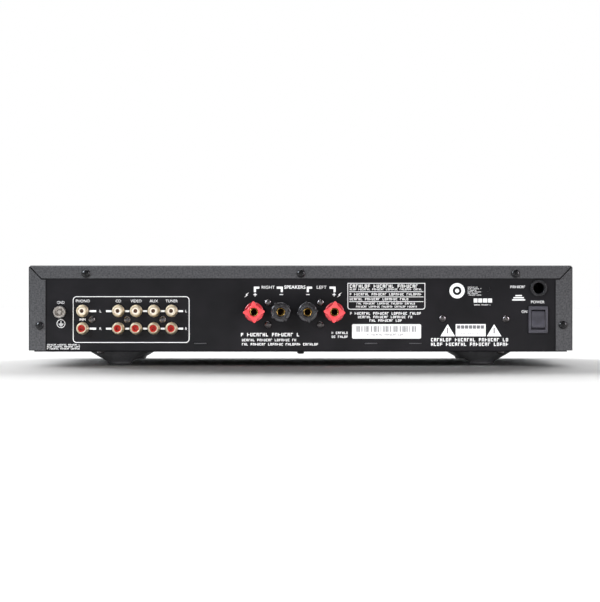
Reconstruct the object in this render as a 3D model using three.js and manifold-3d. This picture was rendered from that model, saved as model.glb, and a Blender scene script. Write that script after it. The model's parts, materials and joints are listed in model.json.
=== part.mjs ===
// An integrated stereo amplifier in a slim, full-width steel case.
//
// Millimetres, +Z up. The front faces -Y and the connector panel faces +Y, so +X is to the right
// seen from the front. The origin is on the floor, under the middle of the case.

import * as THREE from 'three';
import { mergeVertices } from 'three/addons/utils/BufferGeometryUtils.js';
import Module from 'manifold-3d';

const wasm = await Module();
wasm.setup();

// ---------------------------------------------------------------------------
// Driving dimensions
// ---------------------------------------------------------------------------

const SHEET = 1; // wall of the folded steel parts
const GAP = 0.3; // clearance between parts that meet
const SIDES = 12; // facets round a small bore or bar
const FINE_SIDES = 20; // facets round a larger one

const CASE_WIDTH = 435;
const CASE_TOP = 80;
const CASE_BOTTOM = 12; // lower edge of the cover's side walls
const SIDE = CASE_WIDTH / 2;

const REAR_FACE = 126; // outer face of the connector panel
const FRONT_FACE = -128; // front of the fascia
const FASCIA_DEPTH = 10;
const FASCIA_WALL = 3;
const FASCIA_BOTTOM = 11;
const FASCIA_BACK = FRONT_FACE + FASCIA_DEPTH;

const PANEL_HALF_WIDTH = 213;
const PANEL_BOTTOM = 11;
const PANEL_TOP = 76;

const COVER_REAR = REAR_FACE + GAP + SHEET; // outside of the cover's rear flanges
const COVER_FRONT = FASCIA_BACK + GAP;
const TOP_FLANGE_EDGE = 69.7; // lower edge of the flange along the top
const SIDE_FLANGE_EDGE = 203.9; // inner edge of the flanges down the sides
const SIDE_FLANGE_TOP = 68.6;

const PAN_FLOOR = 12.3; // underside of the base pan
const PAN_FRONT = FASCIA_BACK + 0.5;
const PAN_REAR = REAR_FACE - SHEET - GAP;
const PAN_HALF_WIDTH = 215.5;
const PAN_WALL_HEIGHT = 77;

const FOOT = { radius: 24.8, padRadius: 10, rim: 10.6, top: 12, recess: 4 };
const FOOT_PLACES = {
  foot_front_left: [-148.5, -85],
  foot_front_right: [148.5, -85],
  foot_rear_left: [-148.5, 80],
  foot_rear_right: [148.5, 80],
};

const COVER_SCREWS = [[171.6, 73.5], [-0.2, 73.5], [-171.6, 73.5], [208.3, 31.9], [-209.5, 32.5]];
const PANEL_SCREWS = [
  [166.8, 36.8], [138.6, 36.8], [110.3, 36.8],
  [26.1, 50.4], [26.1, 32.6], [-15.9, 50.4], [-15.9, 32.6],
  [-113.4, 37.6], [-164.2, 37.3],
];
const BOTTOM_SCREWS = [-160.5, 0, 160.5];
const BOTTOM_SCREW_Y = 118;
const HOLE = {
  coverScrew: 1.9, panelScrew: 1.4, bottomScrew: 1.6, footScrew: 2.2, ground: 2.5, bushing: 6.3,
  collar: 6.9,
};
const TAB_SLOTS = { places: [80.3, -56.3, -91.7], halfLength: 4.9, low: 17.3, high: 18.1 };
const SWITCH_CUTOUT = { halfWidth: 6.75, halfHeight: 9.75 };

const JACK_ROWS = [43.7, 29.7];
const JACK_COLUMNS = { phono: [174.4], line_a: [131.6, 145.8], line_b: [103.2, 117.4] };
const JACK = { radius: 4.15, bore: 3.65, base: 4.85, length: 8.7, nose: 3.4, pin: 1.6 };

const TERMINAL_HEIGHT = 42.8;
const TERMINAL_PLACES = [37.05, 15.75, -5.55, -26.85];
const TERMINAL_TURNS = [3, 33, 8, -4]; // how far each cap was last screwed round, in degrees
const POST = { radius: 3.2, bore: 3.5, socket: 2.1, socketDepth: 9.4, end: 16.4, tail: -22 };
const CAP = { radius: 7.4, lobe: 8.7, waist: 6.1, base: 4.1, shoulder: 14.6, front: 17 };

const GROUND_PLACE = [192, 42.8];
const SWITCH_PLACE = [-189.8, 36.7];
const BUSHING_PLACE = [-190.2, 61.9];
const BUSHING = { bore: 4.5, body: 5.9, catch: 7.4, rim: 6.65, back: -8, face: 2 };

const CONTROL_HEIGHT = 45.5;
const KNOB_GAP = 1; // from the fascia to the back of each knob
const SHAFT_RADIUS = 3;
const SHAFT_END = 20; // behind the fascia's front
const POT = { bushing: 3.9, bore: 3.3, front: 6, back: 22 };
const KNOBS = {
  volume_knob: { x: 160, radius: 22, length: 14, turn: -150, sides: 28 },
  input_selector_knob: { x: -95, radius: 15, length: 12.5, turn: 0, sides: 20 },
  bass_knob: { x: -30, radius: 11, length: 11, turn: 0, sides: 16 },
  treble_knob: { x: 15, radius: 11, length: 11, turn: 0, sides: 16 },
  balance_knob: { x: 60, radius: 11, length: 11, turn: 0, sides: 16 },
};
const POTS = {
  volume_pot: { x: 160, radius: 12 },
  bass_pot: { x: -30, radius: 8 },
  treble_pot: { x: 15, radius: 8 },
  balance_pot: { x: 60, radius: 8 },
};
const BUTTONS = { standby_button: -190, tone_defeat_button: 102 };
const BUTTON = { radius: 4.5, proud: 4, flange: 6, stem: 2, stemEnd: 8.5 };
const HEADPHONE_X = -150;
const HEADPHONE = { nose: 6, bore: 3.25, halfBody: 7, depth: 28 };
const STANDBY_LAMP = { x: -172, radius: 1.6 };

const BOARD = { x: [-55, 200], y: [-85, 118], z: [19.3, 20.9] };
const STANDOFF_RADIUS = 3;
const STANDOFFS = [[-48, -78], [70, -78], [192, -78], [-48, 106], [70, 106], [192, 106]];

// ---------------------------------------------------------------------------
// Materials
// ---------------------------------------------------------------------------

function material(color, roughness, metalness) {
  return new THREE.MeshStandardMaterial({ color, roughness, metalness, flatShading: true });
}

const finishes = {
  powderCoat: material('#4e4d50', 0.75, 0.1),
  panelPaint: material('#27272a', 0.6, 0.1),
  galvanised: material('#8d9093', 0.45, 0.9),
  fascia: material('#3a3b3e', 0.5, 0.2),
  footPlastic: material('#242426', 0.7, 0),
  blackScrew: material('#1c1c1e', 0.35, 0.8),
  blackPlastic: material('#161618', 0.4, 0),
  knobPlastic: material('#3c3d40', 0.45, 0.1),
  nickel: material('#b8b2a6', 0.25, 1),
  gold: material('#cfa760', 0.25, 1),
  redPlastic: material('#d2262f', 0.3, 0),
  darkPlastic: material('#222226', 0.25, 0),
  circuitBoard: material('#2f5a3a', 0.6, 0),
  lamination: material('#5a5b60', 0.5, 0.9),
  copperTape: material('#b5762c', 0.5, 0.2),
  castAluminium: material('#6b6d70', 0.5, 0.9),
  sleeve: material('#22356b', 0.4, 0),
};

// ---------------------------------------------------------------------------
// Solids
// ---------------------------------------------------------------------------

function toSolid(geometry) {
  geometry.deleteAttribute('normal');
  geometry.deleteAttribute('uv');
  const merged = mergeVertices(geometry, 1e-4);
  return new wasm.Manifold(new wasm.Mesh({
    numProp: 3,
    vertProperties: merged.attributes.position.array,
    triVerts: new Uint32Array(merged.index.array),
  }));
}

function toGeometry(solid) {
  const mesh = solid.getMesh();
  const geometry = new THREE.BufferGeometry();
  geometry.setAttribute('position', new THREE.BufferAttribute(mesh.vertProperties, 3));
  geometry.setIndex(new THREE.BufferAttribute(mesh.triVerts, 1));
  geometry.computeVertexNormals();
  return geometry;
}

function box(x0, x1, y0, y1, z0, z1) {
  const geometry = new THREE.BoxGeometry(x1 - x0, y1 - y0, z1 - z0);
  geometry.translate((x0 + x1) / 2, (y0 + y1) / 2, (z0 + z1) / 2);
  return toSolid(geometry);
}

// A round bar along Y.
function rod(radius, y0, y1, x = 0, z = 0, sides = SIDES) {
  const geometry = new THREE.CylinderGeometry(radius, radius, y1 - y0, sides);
  geometry.translate(x, (y0 + y1) / 2, z);
  return toSolid(geometry);
}

// A round bar along Z.
function pillar(radius, z0, z1, x = 0, y = 0, sides = SIDES) {
  const geometry = new THREE.CylinderGeometry(radius, radius, z1 - z0, sides);
  geometry.rotateX(Math.PI / 2);
  geometry.translate(x, y, (z0 + z1) / 2);
  return toSolid(geometry);
}

// A round bar along X.
function pin(radius, x0, x1, y = 0, z = 0, sides = SIDES) {
  const geometry = new THREE.CylinderGeometry(radius, radius, x1 - x0, sides);
  geometry.rotateZ(Math.PI / 2);
  geometry.translate((x0 + x1) / 2, y, z);
  return toSolid(geometry);
}

// A profile of [radius, y] points spun round the Y axis. It climbs in y along its outside.
function turned(profile, sides = FINE_SIDES) {
  const points = profile.map(([radius, y]) => new THREE.Vector2(radius, y));
  return toSolid(new THREE.LatheGeometry(points, sides));
}

const axisX = new THREE.Vector3(1, 0, 0);
const axisY = new THREE.Vector3(0, 1, 0);
const axisZ = new THREE.Vector3(0, 0, 1);
const PLANES = {
  XY: new THREE.Matrix4(),
  XZ: new THREE.Matrix4().makeBasis(axisX, axisZ, axisY.clone().negate()),
  YZ: new THREE.Matrix4().makeBasis(axisY, axisZ, axisX),
};

// An outline drawn in a plane, given depth across it from low to high.
function extruded(outline, plane, low, high, options = {}) {
  const depth = high - low;
  const settings = { depth, bevelEnabled: false, curveSegments: 2, ...options };
  const geometry = new THREE.ExtrudeGeometry(outline, settings);
  geometry.translate(0, 0, plane === 'XZ' ? -high : low);
  geometry.applyMatrix4(PLANES[plane]);
  return toSolid(geometry);
}

function polygon(points) {
  return new THREE.Shape(points.map(([u, v]) => new THREE.Vector2(u, v)));
}

function roundedRectangle(u0, u1, v0, v1, radius) {
  const shape = new THREE.Shape();
  shape.moveTo(u0 + radius, v0);
  shape.absarc(u1 - radius, v0 + radius, radius, -Math.PI / 2, 0, false);
  shape.absarc(u1 - radius, v1 - radius, radius, 0, Math.PI / 2, false);
  shape.absarc(u0 + radius, v1 - radius, radius, Math.PI / 2, Math.PI, false);
  shape.absarc(u0 + radius, v0 + radius, radius, Math.PI, Math.PI * 1.5, false);
  return shape;
}

const union = (solids) => solids.reduce((sum, solid) => sum.add(solid));
const cut = (solid, tools) => solid.subtract(union(tools));

const amplifier = new THREE.Group();
const rear = new THREE.Group(); // y = 0 is the outer face of the connector panel
const front = new THREE.Group(); // y = 0 is the front of the fascia, z = 0 the row of controls
rear.position.y = REAR_FACE;
front.position.set(0, FRONT_FACE, CONTROL_HEIGHT);
amplifier.add(rear, front);

function addPart(parent, name, solid, finish, [x, y, z] = [0, 0, 0]) {
  const mesh = new THREE.Mesh(toGeometry(solid), finish);
  mesh.name = name;
  mesh.position.set(x, y, z);
  parent.add(mesh);
  return mesh;
}

// Rows of ventilation slots that run along Y, to cut out of a level sheet.
function ventSlots(count, pitch, centreX, rows, z0, z1) {
  const halfSlot = 1.6;
  const slots = [];
  for (const [y0, y1] of rows) {
    for (let i = 0; i < count; i++) {
      const x = centreX + (i - (count - 1) / 2) * pitch;
      slots.push(box(x - halfSlot, x + halfSlot, y0, y1, z0, z1));
    }
  }
  return slots;
}

// ---------------------------------------------------------------------------
// Case
// ---------------------------------------------------------------------------

// The cover is one folded sheet: top, two sides, and flanges that lap the connector panel.
function topCover() {
  const bend = 2.2;
  const edge = 1.6;
  const low = CASE_BOTTOM - 10;
  const shell = extruded(
    roundedRectangle(-SIDE, SIDE, low, CASE_TOP, bend), 'XZ', COVER_FRONT - 10 + edge, COVER_REAR - edge,
    { bevelEnabled: true, bevelThickness: edge, bevelSize: edge, bevelOffset: -edge, bevelSegments: 2 },
  );
  const room = extruded(
    roundedRectangle(-SIDE + SHEET, SIDE - SHEET, low - 20, CASE_TOP - SHEET, bend - SHEET),
    'XZ', COVER_FRONT - 20, COVER_REAR - SHEET,
  );
  const window = box(
    -SIDE_FLANGE_EDGE, SIDE_FLANGE_EDGE, REAR_FACE - 5, COVER_REAR + 5, low - 5, TOP_FLANGE_EDGE,
  );
  const offFront = box(-SIDE - 5, SIDE + 5, COVER_FRONT - 20, COVER_FRONT, low - 5, CASE_TOP + 5);
  const offBottom = box(-SIDE - 5, SIDE + 5, COVER_FRONT - 20, COVER_REAR + 5, low - 5, CASE_BOTTOM);
  const holes = COVER_SCREWS.map(([x, z]) => (
    rod(HOLE.coverScrew, REAR_FACE, COVER_REAR + 1, x, z, 8)
  ));
  const vents = ventSlots(15, 15, 0, [[30, 74], [-30, 14]], CASE_TOP - 3, CASE_TOP + 1);
  return cut(shell, [
    room, window, offFront, offBottom, ...flangeSlits(), ...holes, ...vents,
  ]);
}

// Where two flanges meet at a top corner they are parted by a mitred slit.
function flangeSlits() {
  const outer = [217.4, 80.6];
  const inner = [206.9, 69];
  const width = 0.9;
  const along = Math.atan2(outer[1] - inner[1], outer[0] - inner[0]);
  const du = Math.sin(along) * width / 2;
  const dv = Math.cos(along) * width / 2;
  const slits = [];
  for (const side of [-1, 1]) {
    slits.push(extruded(polygon([
      [side * (inner[0] - du), inner[1] + dv],
      [side * (inner[0] + du), inner[1] - dv],
      [side * (outer[0] + du), outer[1] - dv],
      [side * (outer[0] - du), outer[1] + dv],
    ]), 'XZ', REAR_FACE, COVER_REAR + 1));
    const ends = [side * (SIDE_FLANGE_EDGE - 1), side * (inner[0] + 0.4)].sort((a, b) => a - b);
    slits.push(box(...ends, REAR_FACE, COVER_REAR + 1, SIDE_FLANGE_TOP, TOP_FLANGE_EDGE));
  }
  return slits;
}

// The connector panel, folded forward along its bottom edge to lie under the base pan.
function rearPanel() {
  const bend = 1.5;
  const inner = REAR_FACE - SHEET;
  const lipEnd = 105;
  const section = new THREE.Shape();
  section.moveTo(lipEnd, PANEL_BOTTOM);
  section.absarc(REAR_FACE - bend, PANEL_BOTTOM + bend, bend, -Math.PI / 2, 0, false);
  section.lineTo(REAR_FACE, PANEL_TOP);
  section.lineTo(inner, PANEL_TOP);
  section.absarc(REAR_FACE - bend, PANEL_BOTTOM + bend, bend - SHEET, 0, -Math.PI / 2, true);
  section.lineTo(lipEnd, PANEL_BOTTOM + SHEET);
  const sheet = extruded(section, 'YZ', -PANEL_HALF_WIDTH, PANEL_HALF_WIDTH);

  const through = (radius, x, z, sides = SIDES) => (
    rod(radius, inner - 1, REAR_FACE + 1, x, z, sides)
  );
  const cutouts = [];
  for (const columns of Object.values(JACK_COLUMNS)) {
    for (const x of columns) {
      for (const z of JACK_ROWS) cutouts.push(through(JACK.base + GAP, x, z));
    }
  }
  for (const x of TERMINAL_PLACES) cutouts.push(through(HOLE.collar, x, TERMINAL_HEIGHT));
  for (const [x, z] of COVER_SCREWS) cutouts.push(through(HOLE.coverScrew, x, z, 8));
  for (const [x, z] of PANEL_SCREWS) cutouts.push(through(HOLE.panelScrew, x, z, 6));
  cutouts.push(through(HOLE.ground, ...GROUND_PLACE, 8));
  cutouts.push(through(HOLE.bushing, ...BUSHING_PLACE, FINE_SIDES));
  const [x0, z0] = SWITCH_PLACE;
  const { halfWidth, halfHeight } = SWITCH_CUTOUT;
  cutouts.push(box(
    x0 - halfWidth, x0 + halfWidth, inner - 1, REAR_FACE + 1, z0 - halfHeight, z0 + halfHeight,
  ));
  const { places, halfLength, low, high } = TAB_SLOTS;
  for (const x of places) {
    cutouts.push(box(x - halfLength, x + halfLength, inner - 1, REAR_FACE + 1, low, high));
  }
  for (const x of BOTTOM_SCREWS) {
    cutouts.push(pillar(HOLE.bottomScrew, PANEL_BOTTOM - 1, PANEL_BOTTOM + 2, x, BOTTOM_SCREW_Y, 6));
  }
  return cut(sheet, cutouts);
}

// The tray that carries the works: a floor with low side walls and a tall front wall.
function basePan() {
  const bend = 1.5;
  const lip = 30;
  const floorTop = PAN_FLOOR + SHEET;
  const section = new THREE.Shape();
  section.moveTo(-PAN_HALF_WIDTH, lip);
  section.absarc(-PAN_HALF_WIDTH + bend, PAN_FLOOR + bend, bend, Math.PI, Math.PI * 1.5, false);
  section.absarc(PAN_HALF_WIDTH - bend, PAN_FLOOR + bend, bend, -Math.PI / 2, 0, false);
  section.lineTo(PAN_HALF_WIDTH, lip);
  section.lineTo(PAN_HALF_WIDTH - SHEET, lip);
  section.absarc(PAN_HALF_WIDTH - bend, PAN_FLOOR + bend, bend - SHEET, 0, -Math.PI / 2, true);
  section.absarc(-PAN_HALF_WIDTH + bend, PAN_FLOOR + bend, bend - SHEET, -Math.PI / 2, -Math.PI, true);
  section.lineTo(-PAN_HALF_WIDTH + SHEET, lip);
  const tray = extruded(section, 'XZ', PAN_FRONT, PAN_REAR);
  const wallHalf = PAN_HALF_WIDTH - 1.3;
  const wall = box(
    -wallHalf, wallHalf, PAN_FRONT, PAN_FRONT + SHEET, floorTop - SHEET / 2, PAN_WALL_HEIGHT,
  );

  const cutouts = ventSlots(6, 18, 85, [[-60, -20], [20, 60]], PAN_FLOOR - 1, floorTop + 1);
  for (const [x, y] of Object.values(FOOT_PLACES)) {
    cutouts.push(pillar(HOLE.footScrew, PAN_FLOOR - 1, floorTop + 1, x, y, 8));
  }
  for (const x of BOTTOM_SCREWS) {
    cutouts.push(pillar(HOLE.bottomScrew, PAN_FLOOR - 1, floorTop + 1, x, BOTTOM_SCREW_Y, 6));
  }
  for (const { x } of Object.values(KNOBS)) {
    cutouts.push(rod(POT.bushing + GAP, PAN_FRONT - 1, PAN_FRONT + 2, x, CONTROL_HEIGHT));
  }
  const socket = HEADPHONE.halfBody + 0.4;
  cutouts.push(box(
    HEADPHONE_X - socket, HEADPHONE_X + socket, PAN_FRONT - 1, PAN_FRONT + 2,
    CONTROL_HEIGHT - socket, CONTROL_HEIGHT + socket,
  ));
  return cut(tray.add(wall), cutouts);
}

// A shallow moulded tray, open at the back, with a hole for each control.
function frontFascia() {
  const edge = 1;
  const outline = roundedRectangle(-SIDE, SIDE, FASCIA_BOTTOM, CASE_TOP, 2.5);
  const block = extruded(outline, 'XZ', FRONT_FACE + edge, FASCIA_BACK - edge, {
    bevelEnabled: true, bevelThickness: edge, bevelSize: edge, bevelOffset: -edge, bevelSegments: 2,
  });
  const pocket = box(
    -SIDE + FASCIA_WALL, SIDE - FASCIA_WALL, FRONT_FACE + FASCIA_WALL, FASCIA_BACK + 1,
    FASCIA_BOTTOM + FASCIA_WALL, CASE_TOP - FASCIA_WALL,
  );
  const through = (radius, x, sides = SIDES) => (
    rod(radius, FRONT_FACE - 1, FRONT_FACE + FASCIA_WALL + 1, x, CONTROL_HEIGHT, sides)
  );
  const cutouts = [pocket, through(HEADPHONE.nose + 0.4, HEADPHONE_X, FINE_SIDES)];
  cutouts.push(through(STANDBY_LAMP.radius, STANDBY_LAMP.x, 8));
  for (const { x } of Object.values(KNOBS)) cutouts.push(through(SHAFT_RADIUS + 1.5, x));
  for (const x of Object.values(BUTTONS)) cutouts.push(through(BUTTON.radius + GAP, x, FINE_SIDES));
  return cut(block, cutouts);
}

// A moulded foot: a wide rim against the pan, tapering to a small pad on the floor.
function foot() {
  const { radius, padRadius, rim, top, recess } = FOOT;
  return turned([
    [0, 3.5], [recess, 3.5], [recess, 0], [padRadius - 0.6, 0], [padRadius, 2], [radius, rim],
    [radius, top], [0, top],
  ]);
}

function coverScrew() {
  const shank = 1.5;
  return turned([[0, -4], [shank, -4], [shank, 1.6], [3.3, 1.6], [3.3, 2.3], [2, 3.5], [0, 3.5]], SIDES);
}

addPart(amplifier, 'top_cover', topCover(), finishes.powderCoat);
addPart(amplifier, 'rear_panel', rearPanel(), finishes.panelPaint);
addPart(amplifier, 'base_pan', basePan(), finishes.galvanised);
addPart(amplifier, 'front_fascia', frontFascia(), finishes.fascia);
for (const [name, [x, y]] of Object.entries(FOOT_PLACES)) {
  const mesh = addPart(amplifier, name, foot(), finishes.footPlastic, [x, y, 0]);
  mesh.rotation.x = Math.PI / 2;
}
COVER_SCREWS.forEach(([x, z], index) => {
  addPart(rear, `cover_screw_${index + 1}`, coverScrew(), finishes.blackScrew, [x, 0, z]);
});

// ---------------------------------------------------------------------------
// Connectors on the rear panel
// ---------------------------------------------------------------------------

const BLOCK_BACK = -14;
const STRAP = { back: -2.1, front: -SHEET - GAP }; // the plate that joins the jacks' metal shells
const BLOCK_EDGE = { phono: [11.1, 6.8], line_a: [6.8, 6.8], line_b: [6.8, 6.8] };

const jackHoles = (columns, radius, y0, y1, sides = SIDES) => (
  columns.flatMap((x) => JACK_ROWS.map((z) => rod(radius, y0, y1, x, z, sides)))
);

// The insulating body behind the panel, with a nose inside each jack for its centre pin.
function inputBlock(name, columns, screw) {
  const [before, after] = BLOCK_EDGE[name];
  const front = STRAP.back - GAP;
  const body = box(
    Math.min(...columns) - before, Math.max(...columns) + after, BLOCK_BACK, front, 22, 51,
  );
  const noses = jackHoles(columns, JACK.nose, front - 1, 5);
  const pinHoles = jackHoles(columns, JACK.pin, -8, 6, 8);
  const screwHole = rod(1.1, front - 8, front + 1, ...screw, 8);
  return cut(union([body, ...noses]), [...pinHoles, screwHole]);
}

// The jacks' outer contacts, on one strap that takes them to ground.
function inputShells(name, columns, screw) {
  const [before, after] = BLOCK_EDGE[name];
  const strap = box(
    Math.min(...columns) - before + 1, Math.max(...columns) + after - 1, STRAP.back, STRAP.front, 24, 49.5,
  );
  const barrels = jackHoles(columns, JACK.radius, STRAP.back, JACK.length);
  const bases = jackHoles(columns, JACK.base, STRAP.back, 1.2);
  const bores = jackHoles(columns, JACK.bore, STRAP.back - 1, JACK.length + 1);
  const screwHole = rod(1.6, STRAP.back - 1, STRAP.front + 1, ...screw, 8);
  return cut(union([strap, ...barrels, ...bases]), [...bores, screwHole]);
}

Object.entries(JACK_COLUMNS).forEach(([name, columns], index) => {
  const screw = PANEL_SCREWS[index];
  addPart(rear, `input_block_${name}`, inputBlock(name, columns, screw), finishes.blackPlastic);
  addPart(rear, `input_shells_${name}`, inputShells(name, columns, screw), finishes.nickel);
});

// Each speaker block carries two posts, and its collars insulate them from the panel.
function speakerBlock(places, screws) {
  const centre = (places[0] + places[1]) / 2;
  const front = -SHEET - GAP;
  const body = box(centre - 20.3, centre + 20.3, BLOCK_BACK, front, 29.5, 56);
  const collars = places.map((x) => rod(6.5, front - 1, 2.5, x, TERMINAL_HEIGHT));
  const bores = places.map((x) => rod(POST.bore, BLOCK_BACK - 1, 4, x, TERMINAL_HEIGHT));
  const screwHoles = screws.map(([x, z]) => rod(1.1, front - 8, front + 1, x, z, 8));
  return cut(union([body, ...collars]), [...bores, ...screwHoles]);
}

// A brass post with a socket in its end, a cross hole for bare wire, and its nut at the back.
function terminalPost() {
  const socketRim = 0.4;
  const bar = turned([
    [0, POST.tail], [POST.radius, POST.tail], [POST.radius, POST.end],
    [POST.socket + socketRim, POST.end], [POST.socket, POST.end - socketRim],
    [POST.socket, POST.end - POST.socketDepth], [0, POST.end - POST.socketDepth],
  ], SIDES);
  const nut = rod(5, BLOCK_BACK - GAP - 3, BLOCK_BACK - GAP, 0, 0, 6);
  return cut(bar.add(nut), [pillar(1.2, -5, 5, 0, 5.2, 8)]);
}

// The screw cap: a round body with a four-lobed grip that stands in front of it.
function terminalCap() {
  const { radius, lobe, waist, base, shoulder, front } = CAP;
  const body = rod(radius, base, shoulder, 0, 0, 16);
  const points = [];
  const steps = 24;
  for (let i = 0; i < steps; i++) {
    const angle = (i / steps) * Math.PI * 2;
    const reach = waist + (lobe - waist) * Math.abs(Math.cos(angle * 2)) ** 3;
    points.push([reach * Math.cos(angle), reach * Math.sin(angle)]);
  }
  const grip = extruded(polygon(points), 'XZ', base + 0.5, front);
  return cut(body.add(grip), [rod(POST.bore, base - 1, front + 1)]);
}

const ring = (outer, inner, y0, y1) => rod(outer, y0, y1).subtract(rod(inner, y0 - 1, y1 + 1));

const speakerPairs = { right: TERMINAL_PLACES.slice(0, 2), left: TERMINAL_PLACES.slice(2) };
const speakerScrews = { right: PANEL_SCREWS.slice(3, 5), left: PANEL_SCREWS.slice(5, 7) };
for (const [side, places] of Object.entries(speakerPairs)) {
  const block = speakerBlock(places, speakerScrews[side]);
  addPart(rear, `speaker_block_${side}`, block, finishes.blackPlastic);
}
TERMINAL_PLACES.forEach((x, index) => {
  const number = index + 1;
  const isRed = number === 1 || number === 4;
  const place = [x, 0, TERMINAL_HEIGHT];
  addPart(rear, `terminal_post_${number}`, terminalPost(), finishes.gold, place);
  addPart(rear, `terminal_clamp_${number}`, ring(5.5, POST.bore, 2.8, 3.8), finishes.gold, place);
  const plastic = isRed ? finishes.redPlastic : finishes.darkPlastic;
  const cap = addPart(rear, `terminal_cap_${number}`, terminalCap(), plastic, place);
  cap.rotation.y = THREE.MathUtils.degToRad(TERMINAL_TURNS[index]);
});

// The earth terminal: a fixed screw with its nut, a loose washer and a thumb nut.
function groundPost() {
  const thread = rod(2, -14, 9.4);
  const flange = rod(4.5, -4.3, -SHEET - GAP);
  const fixingNut = rod(4.6, GAP, 2.3, 0, 0, 6);
  return union([thread, flange, fixingNut]);
}

function groundNut() {
  return turned([
    [2.4, 3.7], [5.2, 3.7], [5.2, 9.6], [4.8, 10], [3.6, 10], [3, 9], [2.4, 9], [2.4, 3.7],
  ], SIDES);
}

const groundPlace = [GROUND_PLACE[0], 0, GROUND_PLACE[1]];
addPart(rear, 'ground_post', groundPost(), finishes.nickel, groundPlace);
addPart(rear, 'ground_washer', ring(4.8, 2.4, 2.6, 3.4), finishes.nickel, groundPlace);
addPart(rear, 'ground_nut', groundNut(), finishes.nickel, groundPlace);

// The bushing that the mains lead leaves through: a snapped-in ring with two release notches.
function cordBushing() {
  const { bore, body, catch: catchRadius, rim, back, face } = BUSHING;
  const behind = -SHEET - GAP;
  const edge = 0.4;
  const ringBody = turned([
    [bore, back], [catchRadius, back], [catchRadius, behind], [body, behind], [body, GAP], [rim, GAP],
    [rim, face - edge], [rim - edge, face], [bore, face], [bore, back],
  ]);
  const half = 0.8;
  const notches = [45, 135].map((degrees) => {
    const angle = THREE.MathUtils.degToRad(degrees);
    const x = rim * Math.cos(angle);
    const z = rim * Math.sin(angle);
    return box(x - half, x + half, face - 0.9, face + 1, z - half, z + half);
  });
  return cut(ringBody, notches);
}

const bushingPlace = [BUSHING_PLACE[0], 0, BUSHING_PLACE[1]];
addPart(rear, 'cord_bushing', cordBushing(), finishes.blackPlastic, bushingPlace);

// The mains switch: a hollow housing that clips into the panel, and a rocker on two pins.
const ROCKER = { halfWidth: 5.35, pinRadius: 1, pivotY: -SHEET, tilt: 10 };
const SWITCH_ROOM = { halfWidth: 5.65, halfHeight: 7.95, depth: -12.5 };

function switchHousing() {
  const bezel = extruded(roundedRectangle(-7.75, 7.75, -10.8, 10.8, 1), 'XZ', GAP, 2.3);
  const body = box(-6.45, 6.45, -16, GAP + 0.5, -9.45, 9.45);
  const { halfWidth, halfHeight, depth } = SWITCH_ROOM;
  const room = box(-halfWidth, halfWidth, depth, 3, -halfHeight, halfHeight);
  const pinHoles = pin(ROCKER.pinRadius + GAP, -8, 8, ROCKER.pivotY, 0);
  return cut(bezel.add(body), [room, pinHoles]);
}

// The rocker's own origin is its pivot. Its two faces meet in a shallow V.
function rocker() {
  const halfTop = [[3.2, 0], [4.6, 6.9], [-2, 6.2], [-4.2, 2]];
  const halfBottom = halfTop.slice(1).reverse().map(([y, z]) => [y, -z]);
  const { halfWidth, pinRadius } = ROCKER;
  const body = extruded(polygon([...halfTop, ...halfBottom]), 'YZ', -halfWidth, halfWidth);
  return body.add(pin(pinRadius, -halfWidth - 0.75, halfWidth + 0.75));
}

const [switchX, switchZ] = SWITCH_PLACE;
addPart(rear, 'switch_housing', switchHousing(), finishes.blackPlastic, [switchX, 0, switchZ]);
const rockerPlace = [switchX, ROCKER.pivotY, switchZ];
const rockerMesh = addPart(rear, 'power_rocker', rocker(), finishes.blackPlastic, rockerPlace);
rockerMesh.rotation.x = THREE.MathUtils.degToRad(ROCKER.tilt);

// ---------------------------------------------------------------------------
// Controls on the front
// ---------------------------------------------------------------------------

// A hollow-backed knob on its shaft, with a pointer groove across the front.
function knob({ radius, length, sides }) {
  const tip = -KNOB_GAP - length;
  const edge = 1.2;
  const crown = 4;
  const inner = radius * 0.84;
  const body = turned([
    [0, tip + 0.5], [radius - edge, tip], [radius, tip + edge], [radius, -KNOB_GAP],
    [inner, -KNOB_GAP], [inner, tip + crown], [SHAFT_RADIUS, tip + crown],
    [SHAFT_RADIUS, SHAFT_END], [0, SHAFT_END],
  ], sides);
  const groove = box(-0.8, 0.8, tip - 1, tip + edge, radius * 0.5, radius + 1);
  return cut(body, [groove]);
}

// A rotary control behind the pan's front wall, with its threaded bushing and nut.
function rotary(body) {
  const bushing = rod(POT.bushing, POT.front, POT.back - 5);
  const nut = rod(5.6, 8.2, 10.2, 0, 0, 6);
  const bore = rod(POT.bore, POT.front - 1, POT.back - 1);
  return cut(union([bushing, nut, body]), [bore]);
}

const ROTARY_FACE = PAN_FRONT + SHEET + GAP - FRONT_FACE;

for (const [name, shape] of Object.entries(KNOBS)) {
  const mesh = addPart(front, name, knob(shape), finishes.knobPlastic, [shape.x, 0, 0]);
  mesh.rotation.y = THREE.MathUtils.degToRad(shape.turn);
}
for (const [name, { x, radius }] of Object.entries(POTS)) {
  const body = rod(radius, ROTARY_FACE, POT.back);
  addPart(front, name, rotary(body), finishes.nickel, [x, 0, 0]);
}
const selectorBody = box(-12, 12, ROTARY_FACE, POT.back, -12, 12);
const selectorPlace = [KNOBS.input_selector_knob.x, 0, 0];
addPart(front, 'selector_switch', rotary(selectorBody), finishes.nickel, selectorPlace);

function pushButton() {
  const { radius, proud, flange, stem, stemEnd } = BUTTON;
  const back = FASCIA_WALL + GAP;
  return turned([
    [0, -proud + 0.3], [radius - 0.8, -proud], [radius, -proud + 0.8], [radius, back], [flange, back],
    [flange, back + 1], [stem, back + 1], [stem, stemEnd], [0, stemEnd],
  ], 16);
}

for (const [name, x] of Object.entries(BUTTONS)) {
  addPart(front, name, pushButton(), finishes.knobPlastic, [x, 0, 0]);
}

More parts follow.
